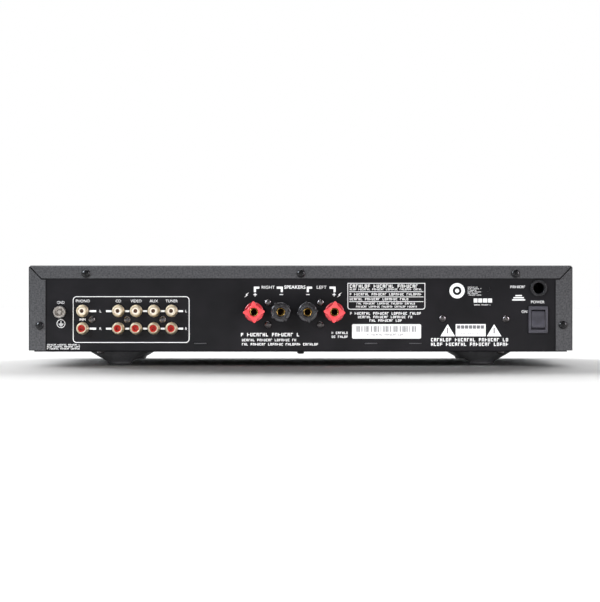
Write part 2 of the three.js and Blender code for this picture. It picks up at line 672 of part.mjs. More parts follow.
function headphoneSocket() {
  const { nose, bore, halfBody, depth } = HEADPHONE;
  const collar = rod(nose, -0.8, 5, 0, 0, FINE_SIDES);
  const body = box(-halfBody, halfBody, 4, depth + 3, -halfBody, halfBody);
  return cut(collar.add(body), [rod(bore, -2, depth)]);
}

addPart(front, 'headphone_socket', headphoneSocket(), finishes.blackPlastic, [HEADPHONE_X, 0, 0]);

// ---------------------------------------------------------------------------
// Works inside the case
// ---------------------------------------------------------------------------

const boardTop = BOARD.z[1];

// The circuit board on its standoffs, with its relay, film capacitors and small electrolytics.
function mainBoard() {
  const sheet = box(...BOARD.x, ...BOARD.y, ...BOARD.z);
  const standoffs = STANDOFFS.map(([x, y]) => (
    pillar(STANDOFF_RADIUS, PAN_FLOOR + SHEET + GAP, BOARD.z[0] + SHEET / 2, x, y, 8)
  ));
  const relay = box(-14, 10, 84, 100, boardTop - 0.5, boardTop + 15);
  const films = [40, 56, 72].map((x) => box(x, x + 8, 64, 82, boardTop - 0.5, boardTop + 10));
  const cans = [110, 124, 138, 152, 166].map((x) => (
    pillar(5, boardTop - 0.5, boardTop + 13, x, 70, 8)
  ));
  const toneCans = [-20, 0, 20, 40, 60].map((x) => (
    pillar(3, boardTop - 0.5, boardTop + 9, x, -70, 8)
  ));
  return union([sheet, relay, ...standoffs, ...films, ...cans, ...toneCans]);
}

// A comb of upright fins on a thick back plate.
function heatsink() {
  const [x0, x1] = [10, 160];
  const [back, base, tip] = [-22, -17, 9];
  const fins = 11;
  const thickness = 2.4;
  const pitch = (x1 - x0 - thickness) / (fins - 1);
  const outline = [[x1, base], [x1, back], [x0, back], [x0, base]];
  for (let i = 0; i < fins; i++) {
    const x = x0 + i * pitch;
    if (i > 0) outline.push([x, base]);
    outline.push([x, tip], [x + thickness, tip]);
    if (i < fins - 1) outline.push([x + thickness, base]);
  }
  return extruded(polygon(outline), 'XY', boardTop + GAP, 66);
}

// A power amplifier chip clamped to the heatsink's back plate, with its row of leads.
function powerChip() {
  const body = box(-10, 10, -5.3, -GAP, 12, 27);
  const leads = [-7, -3.5, 0, 3.5, 7].map((x) => box(x - 0.6, x + 0.6, -3.4, -2.2, GAP, 12.5));
  return union([body, ...leads]);
}

// A transformer with a stack of E and I laminations and a coil on the middle leg.
const CORE = { halfWidth: 45, halfDepth: 25, low: 13.6, high: 73.6, leg: 15, yoke: 15 };

function transformerCore() {
  const { halfWidth, halfDepth, low, high, leg, yoke } = CORE;
  const windows = [-1, 1].map((side) => {
    const ends = [side * leg, side * (halfWidth - leg)].sort((a, b) => a - b);
    return box(...ends, -halfDepth - 1, halfDepth + 1, low + yoke, high - yoke);
  });
  return cut(box(-halfWidth, halfWidth, -halfDepth, halfDepth, low, high), windows);
}

function transformerWinding() {
  const { halfWidth, halfDepth, low, high, leg, yoke } = CORE;
  const reach = halfWidth - leg - GAP;
  const overhang = 12;
  const z0 = low + yoke + GAP;
  const z1 = high - yoke - GAP;
  const coil = box(-reach, reach, -halfDepth - overhang, halfDepth + overhang, z0, z1);
  const hole = box(-leg - GAP, leg + GAP, -halfDepth - GAP, halfDepth + GAP, z0 - 1, z1 + 1);
  return coil.subtract(hole);
}

function capacitor() {
  const height = 40;
  return turned([
    [0, 0], [15, 0], [15, 4], [14.4, 5], [15, 6], [15, height - 0.8], [14.2, height], [0, height],
  ], 16);
}

addPart(amplifier, 'main_board', mainBoard(), finishes.circuitBoard);
addPart(amplifier, 'heatsink', heatsink(), finishes.castAluminium);
for (const [side, x] of Object.entries({ left: 50, right: 120 })) {
  addPart(amplifier, `power_ic_${side}`, powerChip(), finishes.blackPlastic, [x, -22, boardTop]);
}
const transformerPlace = [-130, 22, 0];
addPart(amplifier, 'transformer_core', transformerCore(), finishes.lamination, transformerPlace);
addPart(amplifier, 'transformer_winding', transformerWinding(), finishes.copperTape, transformerPlace);
[-12, 28].forEach((y, index) => {
  const place = [-28, y, boardTop + GAP];
  const mesh = addPart(amplifier, `capacitor_${index + 1}`, capacitor(), finishes.sleeve, place);
  mesh.rotation.x = Math.PI / 2;
});

export default amplifier;
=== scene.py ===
import json
import math

import bmesh
import bpy
from mathutils import Matrix, Vector


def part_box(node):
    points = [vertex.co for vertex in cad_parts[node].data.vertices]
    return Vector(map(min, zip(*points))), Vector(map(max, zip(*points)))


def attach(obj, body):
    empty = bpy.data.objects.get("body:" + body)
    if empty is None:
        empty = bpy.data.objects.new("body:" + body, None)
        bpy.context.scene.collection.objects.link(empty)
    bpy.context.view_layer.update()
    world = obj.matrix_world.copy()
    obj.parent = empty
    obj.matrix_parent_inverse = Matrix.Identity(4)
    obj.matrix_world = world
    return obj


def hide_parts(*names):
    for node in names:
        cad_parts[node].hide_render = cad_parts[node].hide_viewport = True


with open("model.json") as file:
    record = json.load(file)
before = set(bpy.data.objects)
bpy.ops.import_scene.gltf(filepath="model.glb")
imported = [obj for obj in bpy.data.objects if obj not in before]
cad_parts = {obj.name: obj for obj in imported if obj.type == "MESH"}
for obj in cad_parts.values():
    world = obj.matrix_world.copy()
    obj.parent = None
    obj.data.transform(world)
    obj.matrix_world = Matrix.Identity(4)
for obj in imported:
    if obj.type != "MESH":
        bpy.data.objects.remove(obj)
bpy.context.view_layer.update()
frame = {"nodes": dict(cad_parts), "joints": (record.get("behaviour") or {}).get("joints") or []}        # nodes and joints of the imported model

# Sizes and places are in millimetres. makePiece turns them to metres at the end.
mm = 0.001
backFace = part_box("rear_panel")[1].y / mm     # outer face of the connector panel
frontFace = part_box("front_fascia")[0].y / mm  # front of the fascia
scene = bpy.context.scene
scene.view_settings.view_transform = "Standard"


def centre(node):
    low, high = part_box(node)
    return (low + high) / 2 / mm


# The point on the connector panel's face that a node is centred on.
def onPanel(node):
    middle = centre(node)
    return middle.x, backFace, middle.z


controlRow = centre("bass_knob").z


# camera, floor and lights

cameraView = {"across": 0.5, "distance": 1700, "height": 51.6, "lens": 127.15, "sensor": 36,
              "clipStart": 50}


def setCamera():
    data = bpy.data.cameras.new("camera")
    data.lens = cameraView["lens"]
    data.sensor_width = cameraView["sensor"]
    data.clip_start = cameraView["clipStart"] * mm
    camera = bpy.data.objects.new("camera", data)
    place = (cameraView["across"], backFace + cameraView["distance"], cameraView["height"])
    camera.location = Vector(place) * mm
    camera.rotation_euler = (math.radians(90), 0, math.radians(180))
    scene.collection.objects.link(camera)
    scene.camera = camera


def linearColour(hexValue):
    channels = [int(hexValue[i:i + 2], 16) / 255 for i in (1, 3, 5)]
    linear = [c / 12.92 if c <= 0.04045 else ((c + 0.055) / 1.055) ** 2.4 for c in channels]
    return (*linear, 1)


def addNode(tree, kind, settings, links=None):
    node = tree.nodes.new(kind)
    for key, value in settings.items():
        if key in node.inputs.keys():
            node.inputs[key].default_value = value
        else:
            setattr(node, key, value)
    for key, socket in (links or {}).items():
        tree.links.new(socket, node.inputs[key])
    return node


studio = {"floorHalf": 12000, "paper": "#f4f4f4", "skySeen": 1.0, "skyOnWalls": 0.1, "skyInGloss": 0.06,
          "aim": 40}


def makeFloor():
    bm = bmesh.new()
    bmesh.ops.create_grid(bm, x_segments=1, y_segments=1, size=studio["floorHalf"] * mm)
    mesh = bpy.data.meshes.new("floor")
    bm.to_mesh(mesh)
    bm.free()
    floor = bpy.data.objects.new("floor", mesh)
    scene.collection.objects.link(floor)
    paper = bpy.data.materials.new("matt white paper sweep")
    paper.use_nodes = True
    shader = paper.node_tree.nodes["Principled BSDF"]
    shader.inputs["Base Color"].default_value = linearColour(studio["paper"])
    shader.inputs["Roughness"].default_value = 1
    shader.inputs["Specular IOR Level"].default_value = 0
    mesh.materials.append(paper)
    return floor


def lightTheSky():
    # white behind the object, dimmer where it only fills in shade and gloss
    world = bpy.data.worlds.new("studio")
    scene.world = world
    world.use_nodes = True
    tree = world.node_tree
    tree.nodes.clear()
    rays = addNode(tree, "ShaderNodeLightPath", {})
    onWalls = addNode(tree, "ShaderNodeMix", {"A": studio["skyInGloss"], "B": studio["skyOnWalls"]},
                      {"Factor": rays.outputs["Is Diffuse Ray"]})
    seen = addNode(tree, "ShaderNodeMix", {"B": studio["skySeen"]},
                   {"Factor": rays.outputs["Is Camera Ray"], "A": onWalls.outputs["Result"]})
    sky = addNode(tree, "ShaderNodeBackground", {"Color": (1, 1, 1, 1)},
                  {"Strength": seen.outputs["Result"]})
    addNode(tree, "ShaderNodeOutputWorld", {}, {"Surface": sky.outputs["Background"]})


# Each softbox: where it stands, its width and height, its power and its tint. None lights the floor.
# The bounce strip stands in for the bright table in front of the panel, so it has no gloss.
softboxes = {
    "key": {"at": (1340, 1720, 1020), "size": (800, 700), "watts": 35, "tint": "#edf4ff"},
    "fill": {"at": (-1500, 1500, 520), "size": (500, 700), "watts": 15, "tint": "#fcf4fc"},
    "bounce": {"at": (0, 205, 3), "size": (470, 30), "watts": 0.5, "tint": "#ffffff", "gloss": False},
    "top": {"at": (200, -250, 1700), "size": (1600, 1400), "watts": 32, "tint": "#ffffff"},
    "frontKey": {"at": (-1100, -1900, 800), "size": (1100, 800), "watts": 40, "tint": "#ffffff"},
}
# Low lights behind the object, which make the floor white and throw the soft shadow forward.
floorLights = {"elevation": 14, "bearings": range(-26, 50, 9), "disc": 19, "strength": 1.6,
               "highElevation": 62, "highDisc": 60, "highStrength": 0.2}


def linkLight(light, floor, state):
    receivers = bpy.data.collections.new(light.name + " receivers")
    receivers.objects.link(floor)
    light.light_linking.receiver_collection = receivers
    receivers.collection_objects[0].light_linking.link_state = state


def hangFloorLight(name, floor, bearing, elevation, disc, strength):
    data = bpy.data.lights.new(name, "SUN")
    data.angle = math.radians(disc)
    data.energy = strength
    light = bpy.data.objects.new(name, data)
    light.rotation_euler = (math.radians(90 - elevation), 0, math.radians(bearing))
    scene.collection.objects.link(light)
    light.visible_glossy = False
    linkLight(light, floor, "INCLUDE")


def hangLights(floor):
    for number, bearing in enumerate(floorLights["bearings"], 1):
        hangFloorLight(f"floor light {number}", floor, bearing, floorLights["elevation"],
                       floorLights["disc"], floorLights["strength"])
    hangFloorLight("high floor light", floor, 0, floorLights["highElevation"],
                   floorLights["highDisc"], floorLights["highStrength"])
    for name, box in softboxes.items():
        data = bpy.data.lights.new(name, "AREA")
        data.shape = "RECTANGLE"
        data.size, data.size_y = (side * mm for side in box["size"])
        data.energy = box["watts"]
        data.color = linearColour(box["tint"])[:3]
        light = bpy.data.objects.new(name, data)
        light.location = Vector(box["at"]) * mm
        aim = Vector((0, 0, studio["aim"] * mm)) - light.location
        light.rotation_euler = aim.to_track_quat("-Z", "Y").to_euler()
        scene.collection.objects.link(light)
        light.visible_camera = False
        light.visible_glossy = box.get("gloss", True)
        linkLight(light, floor, "EXCLUDE")


setCamera()
lightTheSky()
hangLights(makeFloor())
print("studio ready")


# finishes

def newFinish(name, settings):
    finish = bpy.data.materials.new(name)
    finish.use_nodes = True
    tree = finish.node_tree
    tree.nodes.clear()
    shader = addNode(tree, "ShaderNodeBsdfPrincipled", settings)
    addNode(tree, "ShaderNodeOutputMaterial", {}, {"Surface": shader.outputs["BSDF"]})
    place = addNode(tree, "ShaderNodeTexCoord", {}).outputs["Object"]
    return finish, {"tree": tree, "inputs": shader.inputs, "place": place}


# Colours a surface by a pattern's value, from one colour to another.
def blend(coat, value, dark, light, stops=(0, 1)):
    ramp = addNode(coat["tree"], "ShaderNodeValToRGB", {}, {"Fac": value})
    for stop, position, colour in zip(ramp.color_ramp.elements, stops, (dark, light)):
        stop.position = position
        stop.color = linearColour(colour)
    coat["tree"].links.new(ramp.outputs["Color"], coat["inputs"]["Base Color"])


# Two colours that drift into each other over patches of the given size.
def mottle(coat, patch, dark, light, detail=3):
    drift = addNode(coat["tree"], "ShaderNodeTexNoise", {"Scale": 1 / (patch * mm), "Detail": detail},
                    {"Vector": coat["place"]})
    blend(coat, drift.outputs["Fac"], dark, light, (0.35, 0.65))


# A fine relief of the given grain, in depth from peak to valley.
def roughen(coat, grain, depth):
    grit = addNode(coat["tree"], "ShaderNodeTexNoise", {"Scale": 1 / (grain * mm), "Detail": 2},
                   {"Vector": coat["place"]})
    bump = addNode(coat["tree"], "ShaderNodeBump", {"Distance": depth * mm},
                   {"Height": grit.outputs["Fac"]})
    coat["tree"].links.new(bump.outputs["Normal"], coat["inputs"]["Normal"])


# Gloss that varies a little from place to place, as handled or moulded surfaces do.
def varyGloss(coat, patch, low, high):
    drift = addNode(coat["tree"], "ShaderNodeTexNoise", {"Scale": 1 / (patch * mm)},
                    {"Vector": coat["place"]})
    span = addNode(coat["tree"], "ShaderNodeMapRange", {"To Min": low, "To Max": high},
                   {"Value": drift.outputs["Fac"]})
    coat["tree"].links.new(span.outputs["Result"], coat["inputs"]["Roughness"])


# Most finishes are two drifting colours, a varying gloss and perhaps a fine relief, in that order.
def surface(name, settings, colours, gloss, relief=None):
    finish, coat = newFinish(name, settings)
    mottle(coat, *colours)
    if relief:
        roughen(coat, *relief)
    varyGloss(coat, *gloss)
    return finish


def texturedPowderCoat():
    # polyester powder, oven cured over steel: a neutral dark grey with an orange-peel grit
    grit = (0.7, 0.035)    # the real grit is 0.3 mm, drawn coarser so that it shows
    return surface("textured powder coat", {"Specular IOR Level": 0.4},
                   (1.3, "#313132", "#4b4b4c", 4), (20, 0.52, 0.62), grit)


def satinPanelPaint():
    # smooth black baking enamel: darker and finer than the cover
    return surface("satin black enamel", {"Specular IOR Level": 0.12},
                   (30, "#161617", "#1c1b1d"), (40, 0.42, 0.5), (0.6, 0.012))


def galvanisedSteel():
    # zinc over steel sheet, with flat crystals a few millimetres across
    finish, coat = newFinish("galvanised steel", {"Metallic": 1})
    spangle = addNode(coat["tree"], "ShaderNodeTexVoronoi", {"Scale": 1 / (6 * mm)},
                      {"Vector": coat["place"]})
    blend(coat, spangle.outputs["Color"], "#8b8f93", "#b3b6b8")
    varyGloss(coat, 8, 0.35, 0.55)
    return finish


def graphitePaint():
    # metallic graphite paint over a moulded fascia: dark, with a fine sparkle
    return surface("graphite paint", {"Metallic": 0.25, "Coat Weight": 0.2},
                   (0.5, "#2f3033", "#3e4044", 2), (25, 0.38, 0.46), (0.5, 0.006))


def texturedAbs(name, dark, light):
    # ABS moulded against a spark-eroded tool, which leaves an even matt grain
    return surface(name, {"IOR": 1.53}, (3, dark, light), (10, 0.5, 0.62), (0.6, 0.03))


def glossyMoulding(name, dark, light, low=0.26, high=0.36):
    # plastic or lacquer with a polished surface: a soft sheen with faint flow marks
    return surface(name, {"IOR": 1.53}, (5, dark, light), (4, low, high), (1.5, 0.008))


def platedMetal(name, dark, light, low, high):
    # thin plating over brass or steel: bright, with tiny swirls from barrel tumbling
    return surface(name, {"Metallic": 1}, (2.5, dark, light), (1.5, low, high), (0.8, 0.006))


def clearTintedPlastic(name, dark, light):
    # tinted polycarbonate over a solid core: glassy edges, colour from inside
    settings = {"IOR": 1.58, "Transmission Weight": 0.12, "Coat Weight": 0.6, "Coat Roughness": 0.05}
    return surface(name, settings, (4, dark, light), (3, 0.08, 0.16))


def screenInk():
    # two-part epoxy ink, squeegeed through a mesh: opaque white with a faint weave
    return surface("white screen ink", {"IOR": 1.48}, (0.6, "#dadad8", "#ececea", 2), (2, 0.45, 0.6))


def labelFilm():
    # white polyester label stock under a clear laminate
    return surface("white polyester label", {"IOR": 1.5, "Coat Weight": 0.3},
                   (12, "#cacac8", "#d4d4d2"), (5, 0.35, 0.45))


def thermalPrint():
    # thermal transfer print: matt, and grey because it is thin
    finish, coat = newFinish("grey thermal print", {"Roughness": 0.5})
    mottle(coat, 1.5, "#4c4c4e", "#6a6a6c")
    return finish


def lampLens():
    # frosted indicator lens with a soft glow behind it
    settings = {"IOR": 1.49, "Transmission Weight": 0.3, "Emission Strength": 0.6,
                "Emission Color": linearColour("#3aa0ff")}
    finish, coat = newFinish("frosted lamp lens", settings)
    mottle(coat, 1, "#2f7fd0", "#5aa6ea")
    return finish


def glassEpoxyBoard():
    # green solder mask over copper tracks that run both ways across the board
    finish, coat = newFinish("glass epoxy board", {"IOR": 1.55, "Coat Weight": 0.3})
    settings = {"Scale": 1 / (40 * mm), "Mortar Size": 0.012, "Color1": linearColour("#1f4a2c"),
                "Color2": linearColour("#24553a"), "Mortar": linearColour("#5c7d3f")}
    tracks = addNode(coat["tree"], "ShaderNodeTexBrick", settings, {"Vector": coat["place"]})
    coat["tree"].links.new(tracks.outputs["Color"], coat["inputs"]["Base Color"])
    varyGloss(coat, 6, 0.3, 0.45)
    return finish


# Stripes that cross the piece one after another, at the given scale and along the given axis.
def striped(coat, scale, axis, distortion, dark, light, stops=(0, 1)):
    settings = {"Scale": 1 / (scale * mm), "bands_direction": axis, "Distortion": distortion}
    waves = addNode(coat["tree"], "ShaderNodeTexWave", settings, {"Vector": coat["place"]})
    blend(coat, waves.outputs["Fac"], dark, light, stops)


def stackedLaminations():
    # varnished silicon steel sheets, seen on edge; the real half millimetre is drawn wider to show
    finish, coat = newFinish("steel laminations", {"Metallic": 0.9})
    striped(coat, 3.2, "Y", 0.4, "#34353a", "#6d6f76")
    varyGloss(coat, 5, 0.4, 0.55)
    return finish


def polyesterTape():
    # amber winding tape, wrapped in overlapping turns
    finish, coat = newFinish("polyester winding tape", {"IOR": 1.6, "Coat Weight": 0.4})
    striped(coat, 40, "Z", 1, "#9a5a1c", "#c98834")
    varyGloss(coat, 10, 0.25, 0.4)
    return finish


def sleeveFilm():
    # shrunk PVC sleeve, deep blue with a pale polarity stripe down one side
    finish, coat = newFinish("shrink sleeve", {"IOR": 1.53, "Coat Weight": 0.5})
    striped(coat, 130, "X", 0, "#1b2c5e", "#c9ced9", (0.9, 0.93))
    varyGloss(coat, 10, 0.2, 0.3)
    return finish


powderCoat = texturedPowderCoat()
panelPaint = satinPanelPaint()
zinc = galvanisedSteel()
fasciaPaint = graphitePaint()
footPlastic = texturedAbs("moulded foot ABS", "#404042", "#4c4c4e")
knobPlastic = texturedAbs("moulded knob ABS", "#38393c", "#434448")
rubber = texturedAbs("foot rubber", "#222224", "#2a2a2c")
blackNylon = glossyMoulding("black nylon", "#18181a", "#212123", 0.22, 0.32)
rockerNylon = glossyMoulding("rocker nylon", "#333237", "#3e3d43", 0.34, 0.44)
screwLacquer = glossyMoulding("black screw lacquer", "#0d0d0e", "#141416", 0.16, 0.26)
blackNickel = platedMetal("black nickel plate", "#7c7878", "#928e8e", 0.2, 0.32)
nickel = platedMetal("nickel plate", "#cdc7c0", "#e6e0d9", 0.2, 0.34)
jackPlate = platedMetal("pale gold plate", "#ecd9b6", "#f8eacd", 0.4, 0.52)
gold = platedMetal("gold plate", "#d0a350", "#e6bf70", 0.2, 0.32)
# Dark brass for the insides of the sockets. Its darkness is painted shade for bores that light does not
# reach.
boreShadeBrass = platedMetal("dark brass, painted bore shade", "#2a1f10", "#3c2e18", 0.5, 0.65)
creamInsulator = glossyMoulding("cream polyethylene", "#d8cdbb", "#e3dacb")
redInsulator = glossyMoulding("red polyethylene", "#93170f", "#ac2417")
# Dark brown for the floor of the cream jacks' holes, which paints the shade deep inside them.
holeShadeBrown = glossyMoulding("brown hole floor, painted shade", "#4e382c", "#604637")
redGrip = glossyMoulding("red grip polycarbonate", "#cc383c", "#da4a4d", 0.1, 0.18)
redClear = clearTintedPlastic("clear red polycarbonate", "#a0242c", "#b83a40")
smokeGrip = glossyMoulding("smoked grip polycarbonate", "#1c1b1c", "#29282a", 0.08, 0.15)
smokeClear = clearTintedPlastic("clear smoked polycarbonate", "#252426", "#363538")
whiteInk = screenInk()
label = labelFilm()
labelPrint = thermalPrint()
lens = lampLens()
board = glassEpoxyBoard()
laminations = stackedLaminations()
tape = polyesterTape()
sleeve = sleeveFilm()
anodised = platedMetal("black anodised aluminium", "#2c2d30", "#3a3b3e", 0.45, 0.6)
print("finishes ready")


# shaping

# A profile of (radius, y) points spun right round the Y axis.
def spun(profile, steps=48):
    bm = bmesh.new()
    verts = [bm.verts.new((radius, y, 0)) for radius, y in profile]
    for start, end in zip(verts, verts[1:]):
        bm.edges.new((start, end))
    bmesh.ops.spin(bm, geom=bm.verts[:] + bm.edges[:], cent=(0, 0, 0), axis=(0, 1, 0),
                   angle=math.tau, steps=steps, use_merge=True)
    bmesh.ops.remove_doubles(bm, verts=bm.verts, dist=1e-4)
    bmesh.ops.recalc_face_normals(bm, faces=bm.faces)
    return bm


# A plain ring between two radii and two depths, with its corners softened.
def ringBetween(bore, radius, back, front, reach, steps):
    corners = [(bore, back), (radius, back), (radius, front), (bore, front)]
    return spun(softened(corners, reach, True), steps)


# A profile with its corners rounded over the given reach. A closed one joins up again.
def softened(profile, reach, closed=False):
    points = []
    corners = [Vector(point) for point in profile]
    for i, corner in enumerate(corners):
        if not closed and i in (0, len(corners) - 1):
            points.append(corner)
            continue
        before = corners[i - 1] - corner
        after = corners[(i + 1) % len(corners)] - corner
        start = corner + before.normalized() * min(reach, before.length * 0.45)
        end = corner + after.normalized() * min(reach, after.length * 0.45)
        for t in (0, 0.33, 0.67, 1):
            points.append(start * (1 - t) ** 2 + corner * 2 * t * (1 - t) + end * t * t)
    if closed:
        points.append(points[0])
    return points


def roundEdges(bm, edges, offset, segments=2):
    bmesh.ops.bevel(bm, geom=edges, offset=offset, segments=segments, affect="EDGES", profile=0.5,
                    material=-1)


# The edges that run along one axis: 0, 1 or 2.
def edgesAlong(bm, axis):
    return [e for e in bm.edges if abs((e.verts[1].co - e.verts[0].co).normalized()[axis]) > 0.99]


# Draws faces out into a solid by the given step.
def drawOut(bm, faces, step):
    grown = bmesh.ops.extrude_face_region(bm, geom=faces, use_keep_orig=True)
    moved = [item for item in grown["geom"] if isinstance(item, bmesh.types.BMVert)]
    bmesh.ops.translate(bm, vec=step, verts=moved)
    bmesh.ops.recalc_face_normals(bm, faces=bm.faces)


# Pulls in every other row of points on a spun rim, which leaves ribs or knurls standing.
def notch(bm, radius, ribs, depth, near):
    for vert in bm.verts:
        row = round(math.atan2(vert.co.z, vert.co.x) / math.tau * ribs * 2) % 2
        if row and math.hypot(vert.co.x, vert.co.z) > radius - near:
            vert.co.x *= 1 - depth / radius
            vert.co.z *= 1 - depth / radius


def blockBetween(low, high, edge=0):
    bm = bmesh.new()
    low, high = Vector(low), Vector(high)
    stretch = Matrix.Diagonal((*(high - low), 1))
    bmesh.ops.create_cube(bm, size=1, matrix=Matrix.Translation((low + high) / 2) @ stretch)
    if edge:
        roundEdges(bm, bm.edges[:], edge)
    return bm


def barAlongY(radius, y0, y1, x=0, z=0, sides=24):
    bm = bmesh.new()
    turn = Matrix.Rotation(math.radians(90), 4, "X")
    place = Matrix.Translation((x, (y0 + y1) / 2, z))
    bmesh.ops.create_cone(bm, cap_ends=True, segments=sides, radius1=radius, radius2=radius,
                          depth=y1 - y0, matrix=place @ turn)
    return bm


# Adds a copy of one shape to another, turned about Y and moved.
def addCopy(bm, source, place=(0, 0, 0), turn=0, finish=None):
    scratch = bpy.data.meshes.new("scratch")
    source.to_mesh(scratch)
    if finish is not None:
        scratch.polygons.foreach_set("material_index", [finish] * len(scratch.polygons))
    scratch.transform(Matrix.Translation(place) @ Matrix.Rotation(math.radians(turn), 4, "Y"))
    bm.from_mesh(scratch)
    bpy.data.meshes.remove(scratch)


# One shape that holds a copy of each given one: the shape, then its place, turn and finish number.
def gather(*items):
    bm = bmesh.new()
    for item in items:
        addCopy(bm, *item)
    return bm


# The first shape less the second. Both are used up.
def cutAway(bm, cutter):
    objects = []
    for shape in (bm, cutter):
        mesh = bpy.data.meshes.new("scratch")
        shape.to_mesh(mesh)
        shape.free()
        item = bpy.data.objects.new("scratch", mesh)
        scene.collection.objects.link(item)
        objects.append(item)
    solid, tool = objects
    cut = solid.modifiers.new("cut", "BOOLEAN")
    cut.operation = "DIFFERENCE"
    cut.solver = "EXACT"
    cut.object = tool
    evaluated = solid.evaluated_get(bpy.context.evaluated_depsgraph_get())
    result = bpy.data.meshes.new_from_object(evaluated)
    shaped = bmesh.new()
    shaped.from_mesh(result)
    for item in objects:
        mesh = item.data
        bpy.data.objects.remove(item)
        bpy.data.meshes.remove(mesh)
    bpy.data.meshes.remove(result)
    return shaped


def makePiece(name, bm, finishes, body, replaces=(), sharp=40):
    bmesh.ops.scale(bm, vec=(mm, mm, mm), verts=bm.verts)
    mesh = bpy.data.meshes.new(name)
    bm.to_mesh(mesh)
    bm.free()
    for finish in finishes:
        mesh.materials.append(finish)
    mesh.polygons.foreach_set("use_smooth", [True] * len(mesh.polygons))
    mesh.set_sharp_from_angle(angle=math.radians(sharp))
    piece = bpy.data.objects.new(name, mesh)
    scene.collection.objects.link(piece)
    evenShade = piece.modifiers.new("even shade", "WEIGHTED_NORMAL")
    evenShade.keep_sharp = True
    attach(piece, body)
    if replaces:
        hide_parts(*replaces)
    return piece


# cover

cover = {"halfWidth": 217.5, "top": 80, "bottom": 12, "front": -117.7, "back": 127.3, "sheet": 1,
         "bend": 2.1, "flangeEdge": 69.7, "sideFlangeEdge": 203.9, "sideFlangeTop": 68.6,
         "slit": 0.9, "slitOuter": (217.9, 80.4), "slitInner": (206.9, 69.0)}
coverVents = {"count": 15, "pitch": 15, "width": 3.2, "rows": ((30, 74), (-30, 14))}
coverScrews = {"places": ((171.6, 73.5), (-0.2, 73.5), (-171.6, 73.5), (208.3, 31.9), (-209.5, 32.5)),
               "hole": 1.9, "seat": 1.6, "head": 3.3, "height": 1.9, "shank": 1.5}


def foldedShell():
    half = cover["halfWidth"]
    low = (-half, cover["front"], cover["bottom"])
    bm = blockBetween(low, (half, cover["back"], cover["top"]))
    openSides = [f for f in bm.faces if f.normal.z < -0.5 or f.normal.y < -0.5]
    bmesh.ops.delete(bm, geom=openSides, context="FACES")
    roundEdges(bm, [e for e in bm.edges if not e.is_boundary], cover["bend"], 6)
    bmesh.ops.recalc_face_normals(bm, faces=bm.faces)
    bmesh.ops.solidify(bm, geom=bm.faces[:], thickness=cover["sheet"])
    return bm


# What is cut out of the folded sheet, in turn: the window, the mitred slits, the vents and holes.
def coverCutouts():
    back = cover["back"]
    inner, top = cover["sideFlangeEdge"], cover["flangeEdge"]
    window = blockBetween((-inner, back - 8, 0), (inner, back + 5, top))
    slits, gaps, bm = bmesh.new(), bmesh.new(), bmesh.new()
    (xOut, zOut), (xIn, zIn) = cover["slitOuter"], cover["slitInner"]
    along = math.atan2(zOut - zIn, xOut - xIn)
    length = math.hypot(zOut - zIn, xOut - xIn)
    half = cover["slit"] / 2
    slit = blockBetween((-length / 2, back - 3.4, -half), (length / 2, back + 3, half))
    for side in (1, -1):
        middle = (side * (xOut + xIn) / 2, 0, (zOut + zIn) / 2)
        addCopy(slits, slit, middle, -side * math.degrees(along))
        left, right = sorted((side * (inner - 1), side * (xIn + 0.3)))
        addCopy(gaps, blockBetween((left, back - 3.3, cover["sideFlangeTop"]),
                                   (right, back + 4, top + 0.01)))
    for x, z in coverScrews["places"]:
        addCopy(bm, barAlongY(coverScrews["hole"], back - 2.5, back + 2, x, z))
    halfSlot = coverVents["width"] / 2
    for y0, y1 in coverVents["rows"]:
        slot = blockBetween((-halfSlot, y0, cover["top"] - 4), (halfSlot, y1, cover["top"] + 2))
        roundEdges(slot, edgesAlong(slot, 2), halfSlot * 0.98, 4)
        for i in range(coverVents["count"]):
            addCopy(bm, slot, ((i - (coverVents["count"] - 1) / 2) * coverVents["pitch"], 0, 0))
    return window, slits, gaps, bm


shell = foldedShell()
for cutter in coverCutouts():
    shell = cutAway(shell, cutter)
makePiece("cover", shell, [powderCoat], "chassis", ["top_cover"], 25)
print("cover folded")


# screws

# A pan head with a cross recess, standing on y = 0 and facing +Y.
def panHead(radius, height, shank=1.2, length=4):
    rim = height * 0.45
    dome = [(0, -length), (shank, -length), (shank, 0), (radius, 0), (radius, rim)]
    for i in range(1, 7):
        angle = i / 6 * math.pi / 2
        dome.append((radius * math.cos(angle) ** 0.8, rim + (height - rim) * math.sin(angle)))
    dome[-1] = (0, height)
    head = spun(dome, 32)
    arm, slot = radius * 0.52, radius * 0.12
    recess = blockBetween((-arm, height * 0.25, -slot), (arm, height + 1, slot))
    for turn in (0, 90):
        head = cutAway(head, gather((recess, (0, 0, 0), turn)))
    return head


panelScrews = {"radius": 2.8, "height": 1.7, "turns": (20, 75, 40, 10, 50, 33, 64, 25, 55),
               "places": ((166.8, 36.8), (138.6, 36.8), (110.3, 36.8), (26.1, 50.4), (26.1, 32.6),
                          (-15.9, 50.4), (-15.9, 32.6), (-113.4, 37.6), (-164.2, 37.3))}
bottomScrews = {"radius": 2.8, "height": 1.9, "x": (-160.5, 0, 160.5), "y": 118}


